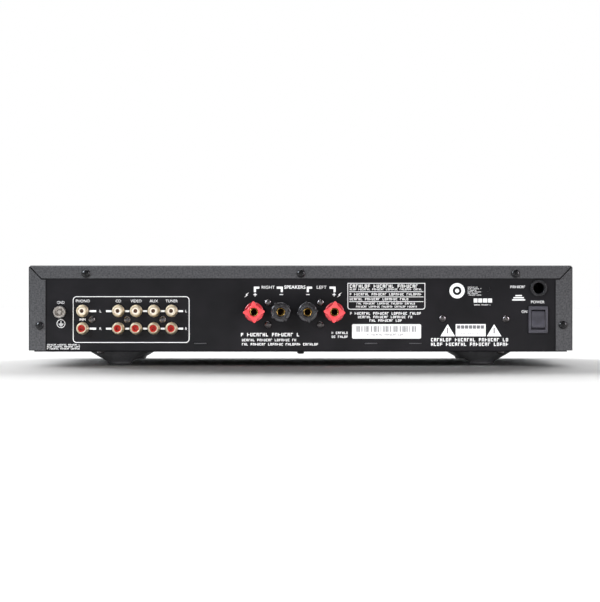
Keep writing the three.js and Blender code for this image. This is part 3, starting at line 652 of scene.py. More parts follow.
def fitScrews():
    head = panHead(coverScrews["head"], coverScrews["height"], coverScrews["shank"])
    for number, (x, z) in enumerate(coverScrews["places"], 1):
        bm = gather((head, (x, backFace + coverScrews["seat"] - 0.3, z), 17 * number))
        node = f"cover_screw_{number}"
        makePiece(f"cover_bolt_{number}", bm, [screwLacquer], "chassis", [node], 35)
    head = panHead(panelScrews["radius"], panelScrews["height"])
    for number, ((x, z), turn) in enumerate(zip(panelScrews["places"], panelScrews["turns"]), 1):
        makePiece(f"panel_bolt_{number}", gather((head, (x, backFace, z), turn)), [blackNickel],
                  "chassis", (), 35)
    head = panHead(bottomScrews["radius"], bottomScrews["height"])
    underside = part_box("rear_panel")[0].z / mm
    bmesh.ops.rotate(head, verts=head.verts, matrix=Matrix.Rotation(math.radians(-90), 3, "X"))
    # The same screws in two finishes: the lighter plate on the two outer heads paints their glints, and the
    # middle one is left black.
    glintAndDarkCoats = (blackNickel, screwLacquer, blackNickel)
    for number, (x, finish) in enumerate(zip(bottomScrews["x"], glintAndDarkCoats), 1):
        makePiece(f"bottom_bolt_{number}", gather((head, (x, bottomScrews["y"], underside))), [finish],
                  "chassis", (), 35)


# The pan's tabs, which come through three slots in the panel and are bent flat against its back.
panelTabs = {"x": (80.3, -56.3, -91.7), "z": 17.7, "halfWidth": 4.7, "halfThick": 0.3}


def fitTabs():
    bm = bmesh.new()
    z, thick = panelTabs["z"], panelTabs["halfThick"]
    for x in panelTabs["x"]:
        low = (x - panelTabs["halfWidth"], backFace - 0.9, z - thick)
        addCopy(bm, blockBetween(low, (x + panelTabs["halfWidth"], backFace + 0.25, z + thick), 0.1))
    makePiece("panel_tabs", bm, [powderCoat], "chassis", ())


fitScrews()
fitTabs()
print("screws fitted")


# feet

foot = {"radius": 24.8, "pad": 10, "rim": 10.6, "top": 12, "base": 0.4, "recess": 4, "recessTop": 3.5,
        "padThick": 0.8}


def makeFeet():
    recess, ceiling, base, pad = (foot[key] for key in ("recess", "recessTop", "base", "pad"))
    outline = softened([(recess, ceiling), (recess, base), (pad - 0.3, base), (pad, 2),
                        (foot["radius"], foot["rim"]), (foot["radius"], foot["top"])], 0.6)
    shell = spun([(0, ceiling), *outline, (0, foot["top"])], 96)
    ring = ringBetween(recess + 1, pad - 0.9, 0, foot["padThick"], 0.3, 64)
    screw = panHead(3.4, 1.8)
    for shape, degrees in ((shell, 90), (ring, 90), (screw, -90)):
        bmesh.ops.rotate(shape, verts=shape.verts, matrix=Matrix.Rotation(math.radians(degrees), 3, "X"))
    for place in ("front_left", "front_right", "rear_left", "rear_right"):
        middle = centre("foot_" + place)
        bm = gather((shell, (middle.x, middle.y, 0), 0, 0), (ring, (middle.x, middle.y, 0), 0, 1),
                    (screw, (middle.x, middle.y, ceiling), 0, 2))
        makePiece(place + "_foot", bm, [footPlastic, rubber, screwLacquer], "chassis", ["foot_" + place])


makeFeet()
print("feet fitted")


# input jacks

jacks = {"columns": {"phono": (174.4,), "line_a": (131.6, 145.8), "line_b": (103.2, 117.4)},
         "rows": {43.7: ("left", creamInsulator, holeShadeBrown), 29.7: ("right", redInsulator, redInsulator)},
         "radius": 4.15, "bore": 3.65, "base": 4.85, "length": 8.7, "lip": 2.85, "hole": 1.6}
jackStrap = {"back": -2.1, "front": -1.3}


def jackShell():
    radius, bore, base, length = (jacks[key] for key in ("radius", "bore", "base", "length"))
    back = jackStrap["front"]
    return spun(softened([(bore, back), (base, back), (base, 1.2), (radius, 1.5), (radius, length),
                          (jacks["lip"], length), (jacks["lip"], length - 2.6), (bore, length - 2.9)],
                         0.28, True), 56)


# The insulator's face is dished towards the hole, which takes the plug's pin.
def jackInsulator():
    hole, edge, face = jacks["hole"], jacks["lip"] - 0.03, jacks["length"] - 0.45
    return spun(softened([(hole, 5.1), (edge, 5.1), (edge, face - 0.2), (edge - 0.3, face),
                          (hole + 0.2, face - 0.6), (hole, face - 1)], 0.15, True), 48)


def makeJacks():
    shell = jackShell()
    contact = spun([(1.0, -6), (1.35, -6), (1.35, 4.2), (1.0, 4.2), (1.0, -6)], 24)
    # A disc closes each hole a little way down. In the cream jacks it is dark brown, painted shade for the
    # depth of the hole; in the red jacks it is the red insulator.
    insert = barAlongY(jacks["hole"] + 0.05, 4.0, 4.8)
    for name, columns in jacks["columns"].items():
        low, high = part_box("input_shells_" + name)
        strap = blockBetween((low.x / mm, backFace + jackStrap["back"], low.z / mm),
                             (high.x / mm, backFace + jackStrap["front"], high.z / mm), 0.15)
        holes = bmesh.new()
        bm = bmesh.new()
        for x in columns:
            for z, (row, insulation, back) in jacks["rows"].items():
                place = (x, backFace, z)
                addCopy(holes, barAlongY(jacks["bore"], -6, 3), place)
                addCopy(bm, shell, place)
                plug = gather((jackInsulator(), place, 0, 0), (contact, place, 0, 1), (insert, place, 0, 2))
                makePiece(f"insulator_{name}_{row}_{columns.index(x) + 1}", plug,
                          [insulation, boreShadeBrass, back], "chassis", ())
        addCopy(bm, cutAway(strap, holes))
        makePiece("jack_shells_" + name, bm, [jackPlate], "chassis", ["input_shells_" + name])


makeJacks()
print("jacks fitted")


# speaker terminals

terminal = {"postRadius": 3.2, "bore": 3.5, "socket": 2.3, "socketDepth": 9.4, "end": 16.4, "tail": -22,
            "turns": (3, 33, 8, -4), "wireHole": 1.2, "wireHoleAt": 5.2, "nut": (5, -17.3, -14.3),
            "clamp": (3.5, 5.5, 2.8, 3.8)}
cap = {"radius": 7.7, "lobe": 8.6, "waist": 5.6, "lobePower": 7, "base": 4.1, "shoulder": 14.6,
       "front": 17, "lift": 0.5}


def makePost(number):
    radius, end, socket = terminal["postRadius"], terminal["end"], terminal["socket"]
    bottom = end - terminal["socketDepth"]
    outline = softened([(radius, terminal["tail"]), (radius, end), (socket + 0.45, end),
                        (socket, end - 0.9), (socket, bottom)], 0.2)
    post = spun([(0, terminal["tail"]), *outline, (0, bottom)], 40)
    # The socket's inner faces take the dark brass, which paints the shade deep in the socket.
    for face in post.faces:
        middle = face.calc_center_median()
        face.material_index = middle.y > bottom - 0.1 and math.hypot(middle.x, middle.z) < socket + 0.1
    wireHole = bmesh.new()
    bmesh.ops.create_cone(wireHole, cap_ends=True, segments=20, radius1=terminal["wireHole"],
                          radius2=terminal["wireHole"], depth=10,
                          matrix=Matrix.Translation((0, terminal["wireHoleAt"], 0)))
    nut = barAlongY(*terminal["nut"], sides=6)
    roundEdges(nut, nut.edges[:], 0.3)
    node = f"terminal_post_{number}"
    bm = gather((cutAway(post, wireHole), onPanel(node)), (nut, onPanel(node)))
    makePiece(f"post_{number}", bm, [gold, boreShadeBrass], "chassis", [node])


def makeClamp(number):
    node = f"terminal_clamp_{number}"
    bm = gather((ringBetween(*terminal["clamp"], 0.2, 40), onPanel(f"terminal_post_{number}")))
    makePiece(f"clamp_{number}", bm, [gold], node, [node])


# The grip's four lobes, drawn by moving a fine circle in and out, then drawn forward.
def fourLobedGrip():
    bm = bmesh.new()
    steps = 128
    upright = Matrix.Rotation(math.radians(90), 4, "X")
    rims = []
    for radius in (terminal["bore"], 1):
        made = bmesh.ops.create_circle(bm, segments=steps, radius=radius, matrix=upright)
        rims.append(made["verts"])
    for vert in rims[1]:
        angle = math.atan2(vert.co.z, vert.co.x)
        swell = abs(math.cos(angle * 2)) ** cap["lobePower"]
        reach = cap["waist"] + (cap["lobe"] - cap["waist"]) * swell
        vert.co = (reach * math.cos(angle), 0, reach * math.sin(angle))
    made = bmesh.ops.bridge_loops(bm, edges=bm.edges[:])
    bmesh.ops.translate(bm, vec=(0, cap["base"] + cap["lift"], 0), verts=bm.verts)
    drawOut(bm, made["faces"], (0, cap["front"] - cap["base"] - cap["lift"], 0))
    front = [e for e in bm.edges if all(v.co.y > cap["front"] - 0.01 for v in e.verts)
             and e.calc_face_angle(0) > 1]
    roundEdges(bm, front, 0.45, 3)
    return bm


def makeCap(number, grip, isRed):
    body = ringBetween(terminal["bore"], cap["radius"], cap["base"], cap["shoulder"], 0.8, 72)
    place, turn = onPanel(f"terminal_post_{number}"), terminal["turns"][number - 1]
    bm = gather((body, place, turn, 0), (grip, place, turn, 1))
    finishes = [redClear, redGrip] if isRed else [smokeClear, smokeGrip]
    node = f"terminal_cap_{number}"
    makePiece(f"cap_{number}", bm, finishes, node, [node])


grip = fourLobedGrip()
for number in (1, 2, 3, 4):
    makePost(number)
    makeClamp(number)
    makeCap(number, grip, number in (1, 4))
print("speaker terminals fitted")


# earth terminal

earth = {"radius": 5.2, "bore": 2.4, "back": 3.7, "recess": 6.5, "front": 10, "knurls": 36, "knurl": 0.22,
         "thread": 2.0, "threadPitch": 0.7, "threadFrom": 2.3, "threadTo": 9.0, "tip": 9.4, "tail": -14,
         "slot": 0.3, "head": (4.5, -4.3, -1.3), "fixingNut": (4.6, 0.3, 2.3),
         "washer": (2.4, 4.8, 2.6, 3.4)}


def knurledNut():
    radius = earth["radius"]
    bore, back, front, recess = (earth[key] for key in ("bore", "back", "front", "recess"))
    outline = [(bore, back), (radius - 0.5, back), (radius, back + 0.5), (radius, front - 0.9),
               (radius - 0.6, front), (3.5, front), (3.1, front - 0.5), (3.1, recess), (bore, recess),
               (bore, back)]
    bm = spun(outline, earth["knurls"] * 2)
    notch(bm, radius, earth["knurls"], earth["knurl"], 0.05)
    return bm


def threadedPost():
    crest, pitch, start, end = (earth[key] for key in ("thread", "threadPitch", "threadFrom", "threadTo"))
    profile = [(0, earth["tail"]), (crest, earth["tail"])]
    for i in range(int((end - start) / pitch)):
        profile.append((crest, start + i * pitch))
        profile.append((crest - 0.3, start + (i + 0.5) * pitch))
    profile += [(crest, end), (crest - 0.4, earth["tip"]), (0, earth["tip"])]
    slot = blockBetween((-crest - 1, 8.5, -earth["slot"]), (crest + 1, 12, earth["slot"]))
    return cutAway(spun(profile, 32), slot)


def makeEarthTerminal():
    place = onPanel("ground_washer")
    fixingNut = barAlongY(*earth["fixingNut"], sides=6)
    roundEdges(fixingNut, fixingNut.edges[:], 0.25)
    bm = gather((threadedPost(), place, 30), (barAlongY(*earth["head"], sides=40), place),
                (fixingNut, place))
    makePiece("earth_post", bm, [nickel], "chassis", ["ground_post"], 30)
    washer = gather((ringBetween(*earth["washer"], 0.15, 48), place))
    makePiece("earth_washer", washer, [nickel], "ground_washer", ["ground_washer"])
    makePiece("earth_nut", gather((knurledNut(), place)), [nickel], "ground_nut", ["ground_nut"],
              30)


makeEarthTerminal()
print("earth terminal fitted")


# mains side: bushing and switch

bushing = {"bore": 4.5, "body": 5.9, "catch": 7.4, "rim": 6.65, "back": -8, "face": 2.0,
           "notchAngles": (45, 135), "notch": 0.8}
switch = {"halfWidth": 7.75, "halfHeight": 10.8, "face": 2.3, "bodyHalf": (6.45, 9.45),
          "bodyDepth": -16, "room": (5.65, 7.95), "roomDepth": -12.5}
# The rocker's outline is (forward, up) from its pivot, for the upper half.
rocker = {"half": 5.35, "pivot": -1, "tilt": 10, "crease": 2.7, "tail": (-4.2, 2), "pin": 1,
          "end": ((3.4, 4.2), (3.5, 6.6), (0.5, 7.6), (-2, 6.8)), "endSoft": 2.2}


def makeBushing():
    bore, rim, face = bushing["bore"], bushing["rim"], bushing["face"]
    outline = [(bore, bushing["back"]), (bushing["catch"], bushing["back"]), (bushing["catch"], -1.3),
               (bushing["body"], -1.3), (bushing["body"], 0.3), (rim, 0.3), (rim, face), (bore, face)]
    ring = spun(softened(outline, 0.35, True), 64)
    notches = bmesh.new()
    half = bushing["notch"]
    for degrees in bushing["notchAngles"]:
        angle = math.radians(degrees)
        x, z = rim * math.cos(angle), rim * math.sin(angle)
        addCopy(notches, blockBetween((-half, face - 0.9, -half), (half, face + 1, half)), (x, 0, z))
    bm = gather((cutAway(ring, notches), onPanel("cord_bushing")))
    makePiece("bushing", bm, [blackNylon], "chassis", ["cord_bushing"])


def makeSwitchHousing():
    halfWidth, halfHeight, face = switch["halfWidth"], switch["halfHeight"], switch["face"]
    bezel = blockBetween((-halfWidth, 0.3, -halfHeight), (halfWidth, face, halfHeight))
    roundEdges(bezel, edgesAlong(bezel, 1), 1, 4)
    roundEdges(bezel, [e for e in bezel.edges if all(v.co.y > face - 0.01 for v in e.verts)], 0.6, 3)
    roomX, roomZ = switch["room"]
    room = (-roomX, switch["roomDepth"], -roomZ), (roomX, face + 2, roomZ)
    bodyX, bodyZ = switch["bodyHalf"]
    body = blockBetween((-bodyX, switch["bodyDepth"], -bodyZ), (bodyX, 0.3, bodyZ), 0.4)
    place = onPanel("switch_housing")
    bm = gather((cutAway(bezel, blockBetween(*room)), place), (cutAway(body, blockBetween(*room)), place))
    makePiece("mains_switch", bm, [rockerNylon], "chassis", ["switch_housing"])


# The rocker's two faces meet in a shallow V. Its ends are rounded off and swept round the pivot, so that
# they fill the window at every angle.
def makeRocker():
    bm = bmesh.new()
    half = [(rocker["crease"], 0), *softened(rocker["end"], rocker["endSoft"]), rocker["tail"]]
    outline = half + [(y, -z) for y, z in reversed(half[1:])]
    wall = rocker["half"]
    face = bm.faces.new([bm.verts.new((-wall, y, z)) for y, z in outline])
    drawOut(bm, [face], (2 * wall, 0, 0))
    roundEdges(bm, [e for e in bm.edges if e.calc_face_angle(0) > math.radians(40)], 0.4, 3)
    pin = bmesh.new()
    across = Matrix.Rotation(math.radians(90), 4, "Y")
    bmesh.ops.create_cone(pin, cap_ends=True, segments=20, radius1=rocker["pin"], radius2=rocker["pin"],
                          depth=2 * wall + 1.5, matrix=across)
    addCopy(bm, pin)
    tilt = Matrix.Rotation(math.radians(rocker["tilt"]), 3, "X")
    bmesh.ops.rotate(bm, verts=bm.verts, matrix=tilt)
    x, y, z = onPanel("switch_housing")
    bmesh.ops.translate(bm, vec=(x, y + rocker["pivot"], z), verts=bm.verts)
    makePiece("rocker", bm, [rockerNylon], "power_rocker", ["power_rocker"])


makeBushing()
makeSwitchHousing()
makeRocker()
print("mains side fitted")


# front controls

# Each knob's printed word, its size, the turn that it rests at and its ribs, then the marks printed
# round it over twice the sweep. Angles are in degrees.
small = {"radius": 11, "length": 11, "turn": 0, "ribs": 48, "marks": 11, "sweep": 140}
knobs = {"volume_knob": {"words": "VOLUME", "radius": 22, "length": 14, "turn": -150, "ribs": 90,
                         "marks": 11, "sweep": 150},
         "input_selector_knob": {"words": "INPUT", "radius": 15, "length": 12.5, "turn": 0, "ribs": 64,
                                 "marks": 5, "sweep": 60},
         "bass_knob": {"words": "BASS", **small}, "treble_knob": {"words": "TREBLE", **small},
         "balance_knob": {"words": "BALANCE", **small}}
# bore, dish and lip are shares of the radius
knobFit = {"gap": 1, "bore": 0.84, "dish": 0.8, "lip": 0.86, "shaft": 3, "shaftEnd": 20, "rib": 0.25,
           "edge": 1.0, "crown": 4, "pointer": (0.45, 0.9), "pointerHalf": 0.7}


def knobX(node):
    for joint in frame["joints"]:
        if joint["child"] == node:
            return joint["pos_m"][0] / mm


# A ribbed knob with a dished crown, and an inlaid white pointer.
def makeKnob(node, shape):
    radius, gap, shaft, edge = shape["radius"], knobFit["gap"], knobFit["shaft"], knobFit["edge"]
    tip = -gap - shape["length"]
    bore, crown = radius * knobFit["bore"], tip + knobFit["crown"]
    profile = [(radius * knobFit["dish"] * t, tip + 0.5 - 0.35 * t * t) for t in (0, 0.25, 0.5, 0.75, 1)]
    profile += [(radius * knobFit["lip"], tip), (radius - edge, tip), (radius - 0.3, tip + 0.35),
                (radius, tip + edge), (radius, -gap - 1.2), (radius - 0.4, -gap), (bore, -gap),
                (bore, crown), (shaft, crown), (shaft, knobFit["shaftEnd"]), (0, knobFit["shaftEnd"])]
    body = spun(profile, shape["ribs"] * 2)
    notch(body, radius, shape["ribs"], knobFit["rib"], 0.01)
    start, end = (radius * share for share in knobFit["pointer"])
    half = knobFit["pointerHalf"]
    pointer = blockBetween((-half, tip - 0.02, start), (half, tip + 1, end), 0.1)
    place = (knobX(node), frontFace, controlRow)
    bm = gather((body, place, shape["turn"], 0), (pointer, place, shape["turn"], 1))
    makePiece(node.replace("_knob", "_dial"), bm, [knobPlastic, whiteInk], node, [node], 30)


button = {"radius": 4.5, "proud": 4, "flange": 6, "stem": 2, "stemEnd": 8.5, "back": 3.3}
phones = {"bore": 3.25, "nose": 6, "collar": (-0.8, 4.2), "bodyHalf": 7, "body": (4, 31),
          "boreEnd": 28, "contact": (5, 8)}
lamp = {"x": -172, "radius": 1.55, "proud": 0.6, "depth": 4}


def makeButton(node):
    radius, back, front = button["radius"], button["back"], -button["proud"]
    flange, stem, stemEnd = button["flange"], button["stem"], button["stemEnd"]
    profile = [(0, front + 0.35), (radius - 1.4, front + 0.12), (radius - 0.8, front),
               (radius - 0.25, front + 0.2), (radius, front + 0.8), (radius, back), (flange, back),
               (flange, back + 1), (stem, back + 1), (stem, stemEnd), (0, stemEnd)]
    bm = gather((spun(profile, 48), (centre(node).x, frontFace, controlRow)))
    makePiece(node.replace("_button", "_key"), bm, [knobPlastic], node, [node], 30)


def makeHeadphoneSocket():
    bore = phones["bore"]
    collar = ringBetween(bore, phones["nose"], *phones["collar"], 0.4, 56)
    half, (bodyFront, bodyBack) = phones["bodyHalf"], phones["body"]
    body = blockBetween((-half, bodyFront, -half), (half, bodyBack, half), 0.5)
    body = cutAway(body, barAlongY(bore, 2, phones["boreEnd"]))
    near, far = phones["contact"]
    contact = spun([(bore - 0.02, near), (bore - 0.02, far), (bore - 0.4, (near + far) / 2),
                    (bore - 0.02, near)], 32)
    middle = centre("headphone_socket")
    place = (middle.x, frontFace, middle.z)
    bm = gather((collar, place, 0, 0), (body, place, 0, 0), (contact, place, 0, 1))
    makePiece("phones_socket", bm, [blackNylon, gold], "chassis", ["headphone_socket"])


def makeLamp():
    radius, proud, depth = lamp["radius"], lamp["proud"], lamp["depth"]
    profile = [(0, depth), (radius, depth), (radius, 0)]
    for i in range(1, 5):
        angle = i / 5 * math.pi / 2
        profile.append((radius * math.cos(angle), -proud * math.sin(angle)))
    bm = gather((spun([*profile, (0, -proud)], 28), (lamp["x"], frontFace, controlRow)))
    makePiece("standby_lamp", bm, [lens], "chassis", ())


for node, shape in knobs.items():
    makeKnob(node, shape)
for node in ("standby_button", "tone_defeat_button"):
    makeButton(node)
makeHeadphoneSocket()
makeLamp()
print("front controls fitted")


# printing

# small and tiny are heights of capitals, and frame is the width of a frame's line
ink = {"lift": 0.01, "depth": 0.05, "small": 2.2, "tiny": 2.0, "frame": 0.5}


def addBar(bm, x0, x1, z0, z1):
    low = (min(x0, x1), 0, min(z0, z1))
    high = (max(x0, x1), ink["depth"], max(z0, z1))
    addCopy(bm, blockBetween(low, high))


# Words whose capitals are the given height. facing is 1 on the rear and -1 on the front.
def addWords(bm, words, x, z, height, facing=1, width=None, bold=0):
    curve = bpy.data.curves.new("words", "FONT")
    curve.body = words
    curve.offset = bold
    curve.resolution_u = 3
    curve.extrude = 0.5
    holder = bpy.data.objects.new("words", curve)
    scene.collection.objects.link(holder)
    evaluated = holder.evaluated_get(bpy.context.evaluated_depsgraph_get())
    mesh = bpy.data.meshes.new_from_object(evaluated)
    us = [v.co.x for v in mesh.vertices]
    vs = [v.co.y for v in mesh.vertices]
    tall = height / (max(vs) - min(vs))
    wide = width / (max(us) - min(us)) if width else tall
    middle = Matrix.Translation((-(max(us) + min(us)) / 2, -(max(vs) + min(vs)) / 2, 0))
    size = Matrix.Diagonal((wide, tall, ink["depth"], 1))
    upright = Matrix(((-facing, 0, 0, x), (0, 0, facing, ink["depth"] / 2), (0, 1, 0, z), (0, 0, 0, 1)))
    mesh.transform(upright @ size @ middle)
    bm.from_mesh(mesh)
    bpy.data.objects.remove(holder)
    bpy.data.curves.remove(curve)
    bpy.data.meshes.remove(mesh)


# A line of plain strokes, in place of small print. It runs from x0 towards x1.
def addStrokes(bm, x0, x1, z, height, seed=0):
    way = 1 if x1 > x0 else -1
    pitch, stroke = height * 0.92, height * 0.2
    low, high = z - height / 2, z + height / 2
    patterns = ((1, 0, 1), (0, 1, 0), (1, 1, 0), (0, 0, 1), (1, 0, 0))
    for i in range(int(abs(x1 - x0) / pitch)):
        if (i * 3 + seed) % 8 == 5:    # a gap between words
            continue
        left = x0 + way * i * pitch
        right = left + way * pitch * 0.72
        addBar(bm, left, left + way * stroke, low, high)
        if (i + seed) % 2:
            addBar(bm, right - way * stroke, right, low, high)
        for used, level in zip(patterns[(i * 7 + seed) % 5], (high - stroke, z - stroke / 2, low)):
            if used:
                addBar(bm, left + way * stroke, right, level, level + stroke)


# A flat frame. Its upper corners are rounded by one radius and its lower corners by another.
def addFrame(bm, x0, x1, z0, z1, thick, topRadius, bottomRadius):
    frameMesh = bmesh.new()
    corners = [(x0, 0, z0), (x1, 0, z0), (x1, 0, z1), (x0, 0, z1)]
    face = frameMesh.faces.new([frameMesh.verts.new(corner) for corner in corners])
    for height, radius in ((z0, bottomRadius), (z1, topRadius)):
        if radius:
            picked = [v for v in frameMesh.verts if abs(v.co.z - height) < 1e-6]
            bmesh.ops.bevel(frameMesh, geom=picked, offset=radius, segments=6, affect="VERTICES",
                            profile=0.5, material=-1)
    addOutline(bm, frameMesh, thick)


# A flat face at y = 0, or only its rim, drawn forward by the depth of the ink.
def addOutline(bm, flat, thick=None):
    if thick:
        face = flat.faces[:][0]
        bmesh.ops.inset_region(flat, faces=[face], thickness=thick, use_boundary=True,
                               use_even_offset=True)
        bmesh.ops.delete(flat, geom=[face], context="FACES")
    drawOut(flat, flat.faces[:], (0, ink["depth"], 0))
    addCopy(bm, flat)


def addPolygon(bm, points):
    flat = bmesh.new()
    flat.faces.new([flat.verts.new((x, 0, z)) for x, z in points])
    addOutline(bm, flat)


def addRing(bm, x, z, radius, thick=None):
    flat = bmesh.new()
    upright = Matrix.Translation((x, 0, z)) @ Matrix.Rotation(math.radians(90), 4, "X")
    bmesh.ops.create_circle(flat, cap_ends=True, segments=48, radius=radius, matrix=upright)
    addOutline(bm, flat, thick)


inputPrint = {"frame": (88.9, 182.1, 18.2, 55.3), "labelHeight": 51.6,
              "labels": {"PHONO": (174.2, 11), "CD": (145.7, None), "VIDEO": (131.6, 8.8),
                         "AUX": (117.4, None), "TUNER": (103.1, 9.6)},
              "dashes": ((168.8, 163.5), (155.6, 151.1), (140.4, 137.0), (126.1, 122.7), (112.0, 108.6),
                         (97.8, 94.0)), "dashHalf": 0.75, "letters": (160.0, 91.5),
              "rows": {"L": 43.5, "R": 29.5}, "cartridge": (174.3, 36.7, 4.6)}


def printInputs(bm):
    addFrame(bm, *inputPrint["frame"], ink["frame"], 3, 3)
    for words, (x, width) in inputPrint["labels"].items():
        addWords(bm, words, x, inputPrint["labelHeight"], ink["small"], width=width)
    x, z, width = inputPrint["cartridge"]
    addWords(bm, "MM", x, z, ink["tiny"], width=width)
    half = inputPrint["dashHalf"]
    for letter, z in inputPrint["rows"].items():
        for x0, x1 in inputPrint["dashes"]:
            addBar(bm, x0, x1, z - half, z + half)
        for x in inputPrint["letters"]:
            addWords(bm, letter, x, z, ink["tiny"])


# The earth mark: a ring, its stem, and three bars as (half width, height). Notes are rows of strokes.
earthPrint = {"mark": (191.6, 33.5), "ring": (3.4, 0.36), "stem": (0.2, -0.1, 2.4), "barThick": 0.4,
              "bars": ((2.0, -0.5), (1.4, -1.3), (0.7, -2.1)), "word": (191.8, 50.4, 5.9),
              "notes": (202.7, 175.6), "noteRows": (16.6, 15.0, 13.4), "noteHeight": 1.15}


def printEarth(bm):
    x, z, width = earthPrint["word"]
    addWords(bm, "GND", x, z, ink["small"], width=width)
    x, z = earthPrint["mark"]
    addRing(bm, x, z, *earthPrint["ring"])
    half, low, high = earthPrint["stem"]
    addBar(bm, x - half, x + half, z + low, z + high)
    for half, low in earthPrint["bars"]:
        addBar(bm, x - half, x + half, z + low, z + low + earthPrint["barThick"])
    for row, height in enumerate(earthPrint["noteRows"]):
        addStrokes(bm, *earthPrint["notes"], height, earthPrint["noteHeight"], row)


speakerPrint = {"top": 63.1, "drop": 58.7, "thick": 1.7,
                "brackets": ((37.4, 33.0, 37.4), (19.1, 14.2, 14.2), (-4.9, -9.2, -4.9),
                             (-23.1, -28.0, -28.0)),
                "flash": ((1.9, 2.1), (-1.0, 0.2), (-0.2, 0.0), (-1.9, -2.1), (1.0, -0.2), (0.2, 0.0)),
                "flashes": ((43.1, 56.5), (-31.0, 56.5)), "signHeight": 56.75, "signReach": 1.4,
                "signHalf": 0.35, "signs": ((36.4, "+"), (15.4, "-"), (-5.8, "-"), (-26.8, "+")),
                "words": (("RIGHT", 25.9, 62.6, 2.3, 10.4, 0), ("SPEAKERS", 4.6, 62.7, 2.7, 17, 0.015),
                          ("LEFT", -16.8, 62.6, 2.3, 7.8, 0)),
                "notes": ((47.7, -0.6, 24.7, 2.7, 2), (46.9, 1.9, 20.4, 1.9, 3),
                          (46.9, -16.3, 17.0, 1.9, 4))}


def printSpeakers(bm):
    top, drop, thick = (speakerPrint[key] for key in ("top", "drop", "thick"))
    for x0, x1, leg in speakerPrint["brackets"]:
        addBar(bm, x0, x1, top - thick, top)
        inward = thick if leg < (x0 + x1) / 2 else -thick
        addBar(bm, leg, leg + inward, drop, top - thick)
    for words, x, z, height, width, bold in speakerPrint["words"]:
        addWords(bm, words, x, z, height, width=width, bold=bold)
    middle, reach, half = (speakerPrint[key] for key in ("signHeight", "signReach", "signHalf"))
    for x, sign in speakerPrint["signs"]:
        addBar(bm, x - reach, x + reach, middle - half, middle + half)
        if sign == "+":
            addBar(bm, x - half, x + half, middle - reach - 0.05, middle - half)
            addBar(bm, x - half, x + half, middle + half, middle + reach + 0.05)
    for x, z in speakerPrint["flashes"]:
        addPolygon(bm, [(x - u, z + v) for u, v in speakerPrint["flash"]])
    for note in speakerPrint["notes"]:
        addStrokes(bm, *note)


rating = {"frame": (-99.6, -37.5, 44.8, 66.0), "dividers": (59.0, 54.9, 51.1),
          "rows": ((63.5, 2.6, -39.3, -97.8), (60.9, 1.5, -39.3, -97.8), (57.0, 1.9, -39.3, -97.8),
                   (53.1, 1.9, -39.3, -87), (49.6, 1.5, -44.8, -92.5), (47.1, 1.4, -43, -94.2)),
          "below": ((41.7, 2.0, 29), (38.8, 1.9, 22.7), (36.0, 1.9, 13.5)), "middle": -68.6,
          "dividerEnds": (-38.8, -98.2), "dividerHalf": 0.22, "besideLabel": (-24.9, -39.0, 1.8),
          "besideRows": (26.1, 23.0)}


def printRating(bm):
    addFrame(bm, *rating["frame"], ink["frame"], 0, 2.2)
    half = rating["dividerHalf"]
    for z in rating["dividers"]:
        addBar(bm, *rating["dividerEnds"], z - half, z + half)
    for seed, (z, height, x0, x1) in enumerate(rating["rows"]):
        addStrokes(bm, x0, x1, z, height, seed)
    for seed, (z, height, half) in enumerate(rating["below"]):
        addStrokes(bm, rating["middle"] + half, rating["middle"] - half, z, height, seed + 2)
    x0, x1, height = rating["besideLabel"]
    for z in rating["besideRows"]:
        addStrokes(bm, x0, x1, z, height, int(z))


# Plain shapes in the places of the approval marks, and the two triangles beside the notice plate.
# Strokes are x0, x1, z, height and seed. Bars and frames are x0, x1, z0, z1.
marks = {"disc": (-125.1, 59.8), "discRadius": 6.1, "discRim": 2.6, "discDot": 1.6,
         "listStart": -133.7, "listEnds": (-142.2, -145.1), "listTop": 62.6, "listPitch": 1.25,
         "listHeight": 0.85, "listRows": 6,
         "frames": ((-151.1, -145.7, 56.6, 62.0), (-149.8, -147.0, 57.9, 60.7)), "frameLine": 0.7,
         "bars": ((-138.4, -141.4), (-142.1, -145.2), (-145.9, -149.3), (-150.0, -153.0)),
         "barHeights": (50.4, 53.6),
         "strokes": ((-138.8, -152.8, 48.5, 0.9, 3), (-166.0, -180.6, 62.9, 1.9, 5),
                     (-104.3, -168.6, 20.6, 2.6, 0), (-104.3, -168.6, 17.0, 2.6, 1)),
         "steps": (5.2, 4.2, 2.6), "stepAt": (-174.3, 52.0), "stepRise": 1.7, "stepThick": 1.0,
         "triangles": (-117.6, -154.7), "triangle": (5.8, 23.4, 33.0),
         "plate": (-124.0, -147.9, 23.4, 33.1)}


def printMarks(bm):
    addRing(bm, *marks["disc"], marks["discRadius"], marks["discRim"])
    addRing(bm, *marks["disc"], marks["discDot"])
    for row in range(marks["listRows"]):
        addStrokes(bm, marks["listStart"], marks["listEnds"][row % 2],
                   marks["listTop"] - row * marks["listPitch"], marks["listHeight"], row)
    for corners in marks["frames"]:
        addFrame(bm, *corners, marks["frameLine"], 0, 0)
    for x0, x1 in marks["bars"]:
        addBar(bm, x0, x1, *marks["barHeights"])
    for line in marks["strokes"]:
        addStrokes(bm, *line)
    x, z = marks["stepAt"]
    for step, half in enumerate(marks["steps"]):
        low = z + step * marks["stepRise"]
        addBar(bm, x - half, x + half, low, low + marks["stepThick"])
    half, low, high = marks["triangle"]
    for middle in marks["triangles"]:
        addPolygon(bm, [(middle + half, low), (middle - half, low), (middle, high)])
    addBar(bm, *marks["plate"])


mainsPrint = {"POWER": (-189.6, 50.8, 10.7), "ON": (-178.9, 43.1, 4.4)}


def printMains(bm):
    for words, (x, z, width) in mainsPrint.items():
        addWords(bm, words, x, z, ink["small"], width=width)


def settleInk(bm, surface, facing):
    flip = Matrix.Diagonal((1, facing, 1, 1))
    bmesh.ops.transform(bm, matrix=flip, verts=bm.verts)
    if facing < 0:
        bmesh.ops.reverse_faces(bm, faces=bm.faces)
    bmesh.ops.translate(bm, vec=(0, surface + facing * ink["lift"], 0), verts=bm.verts)


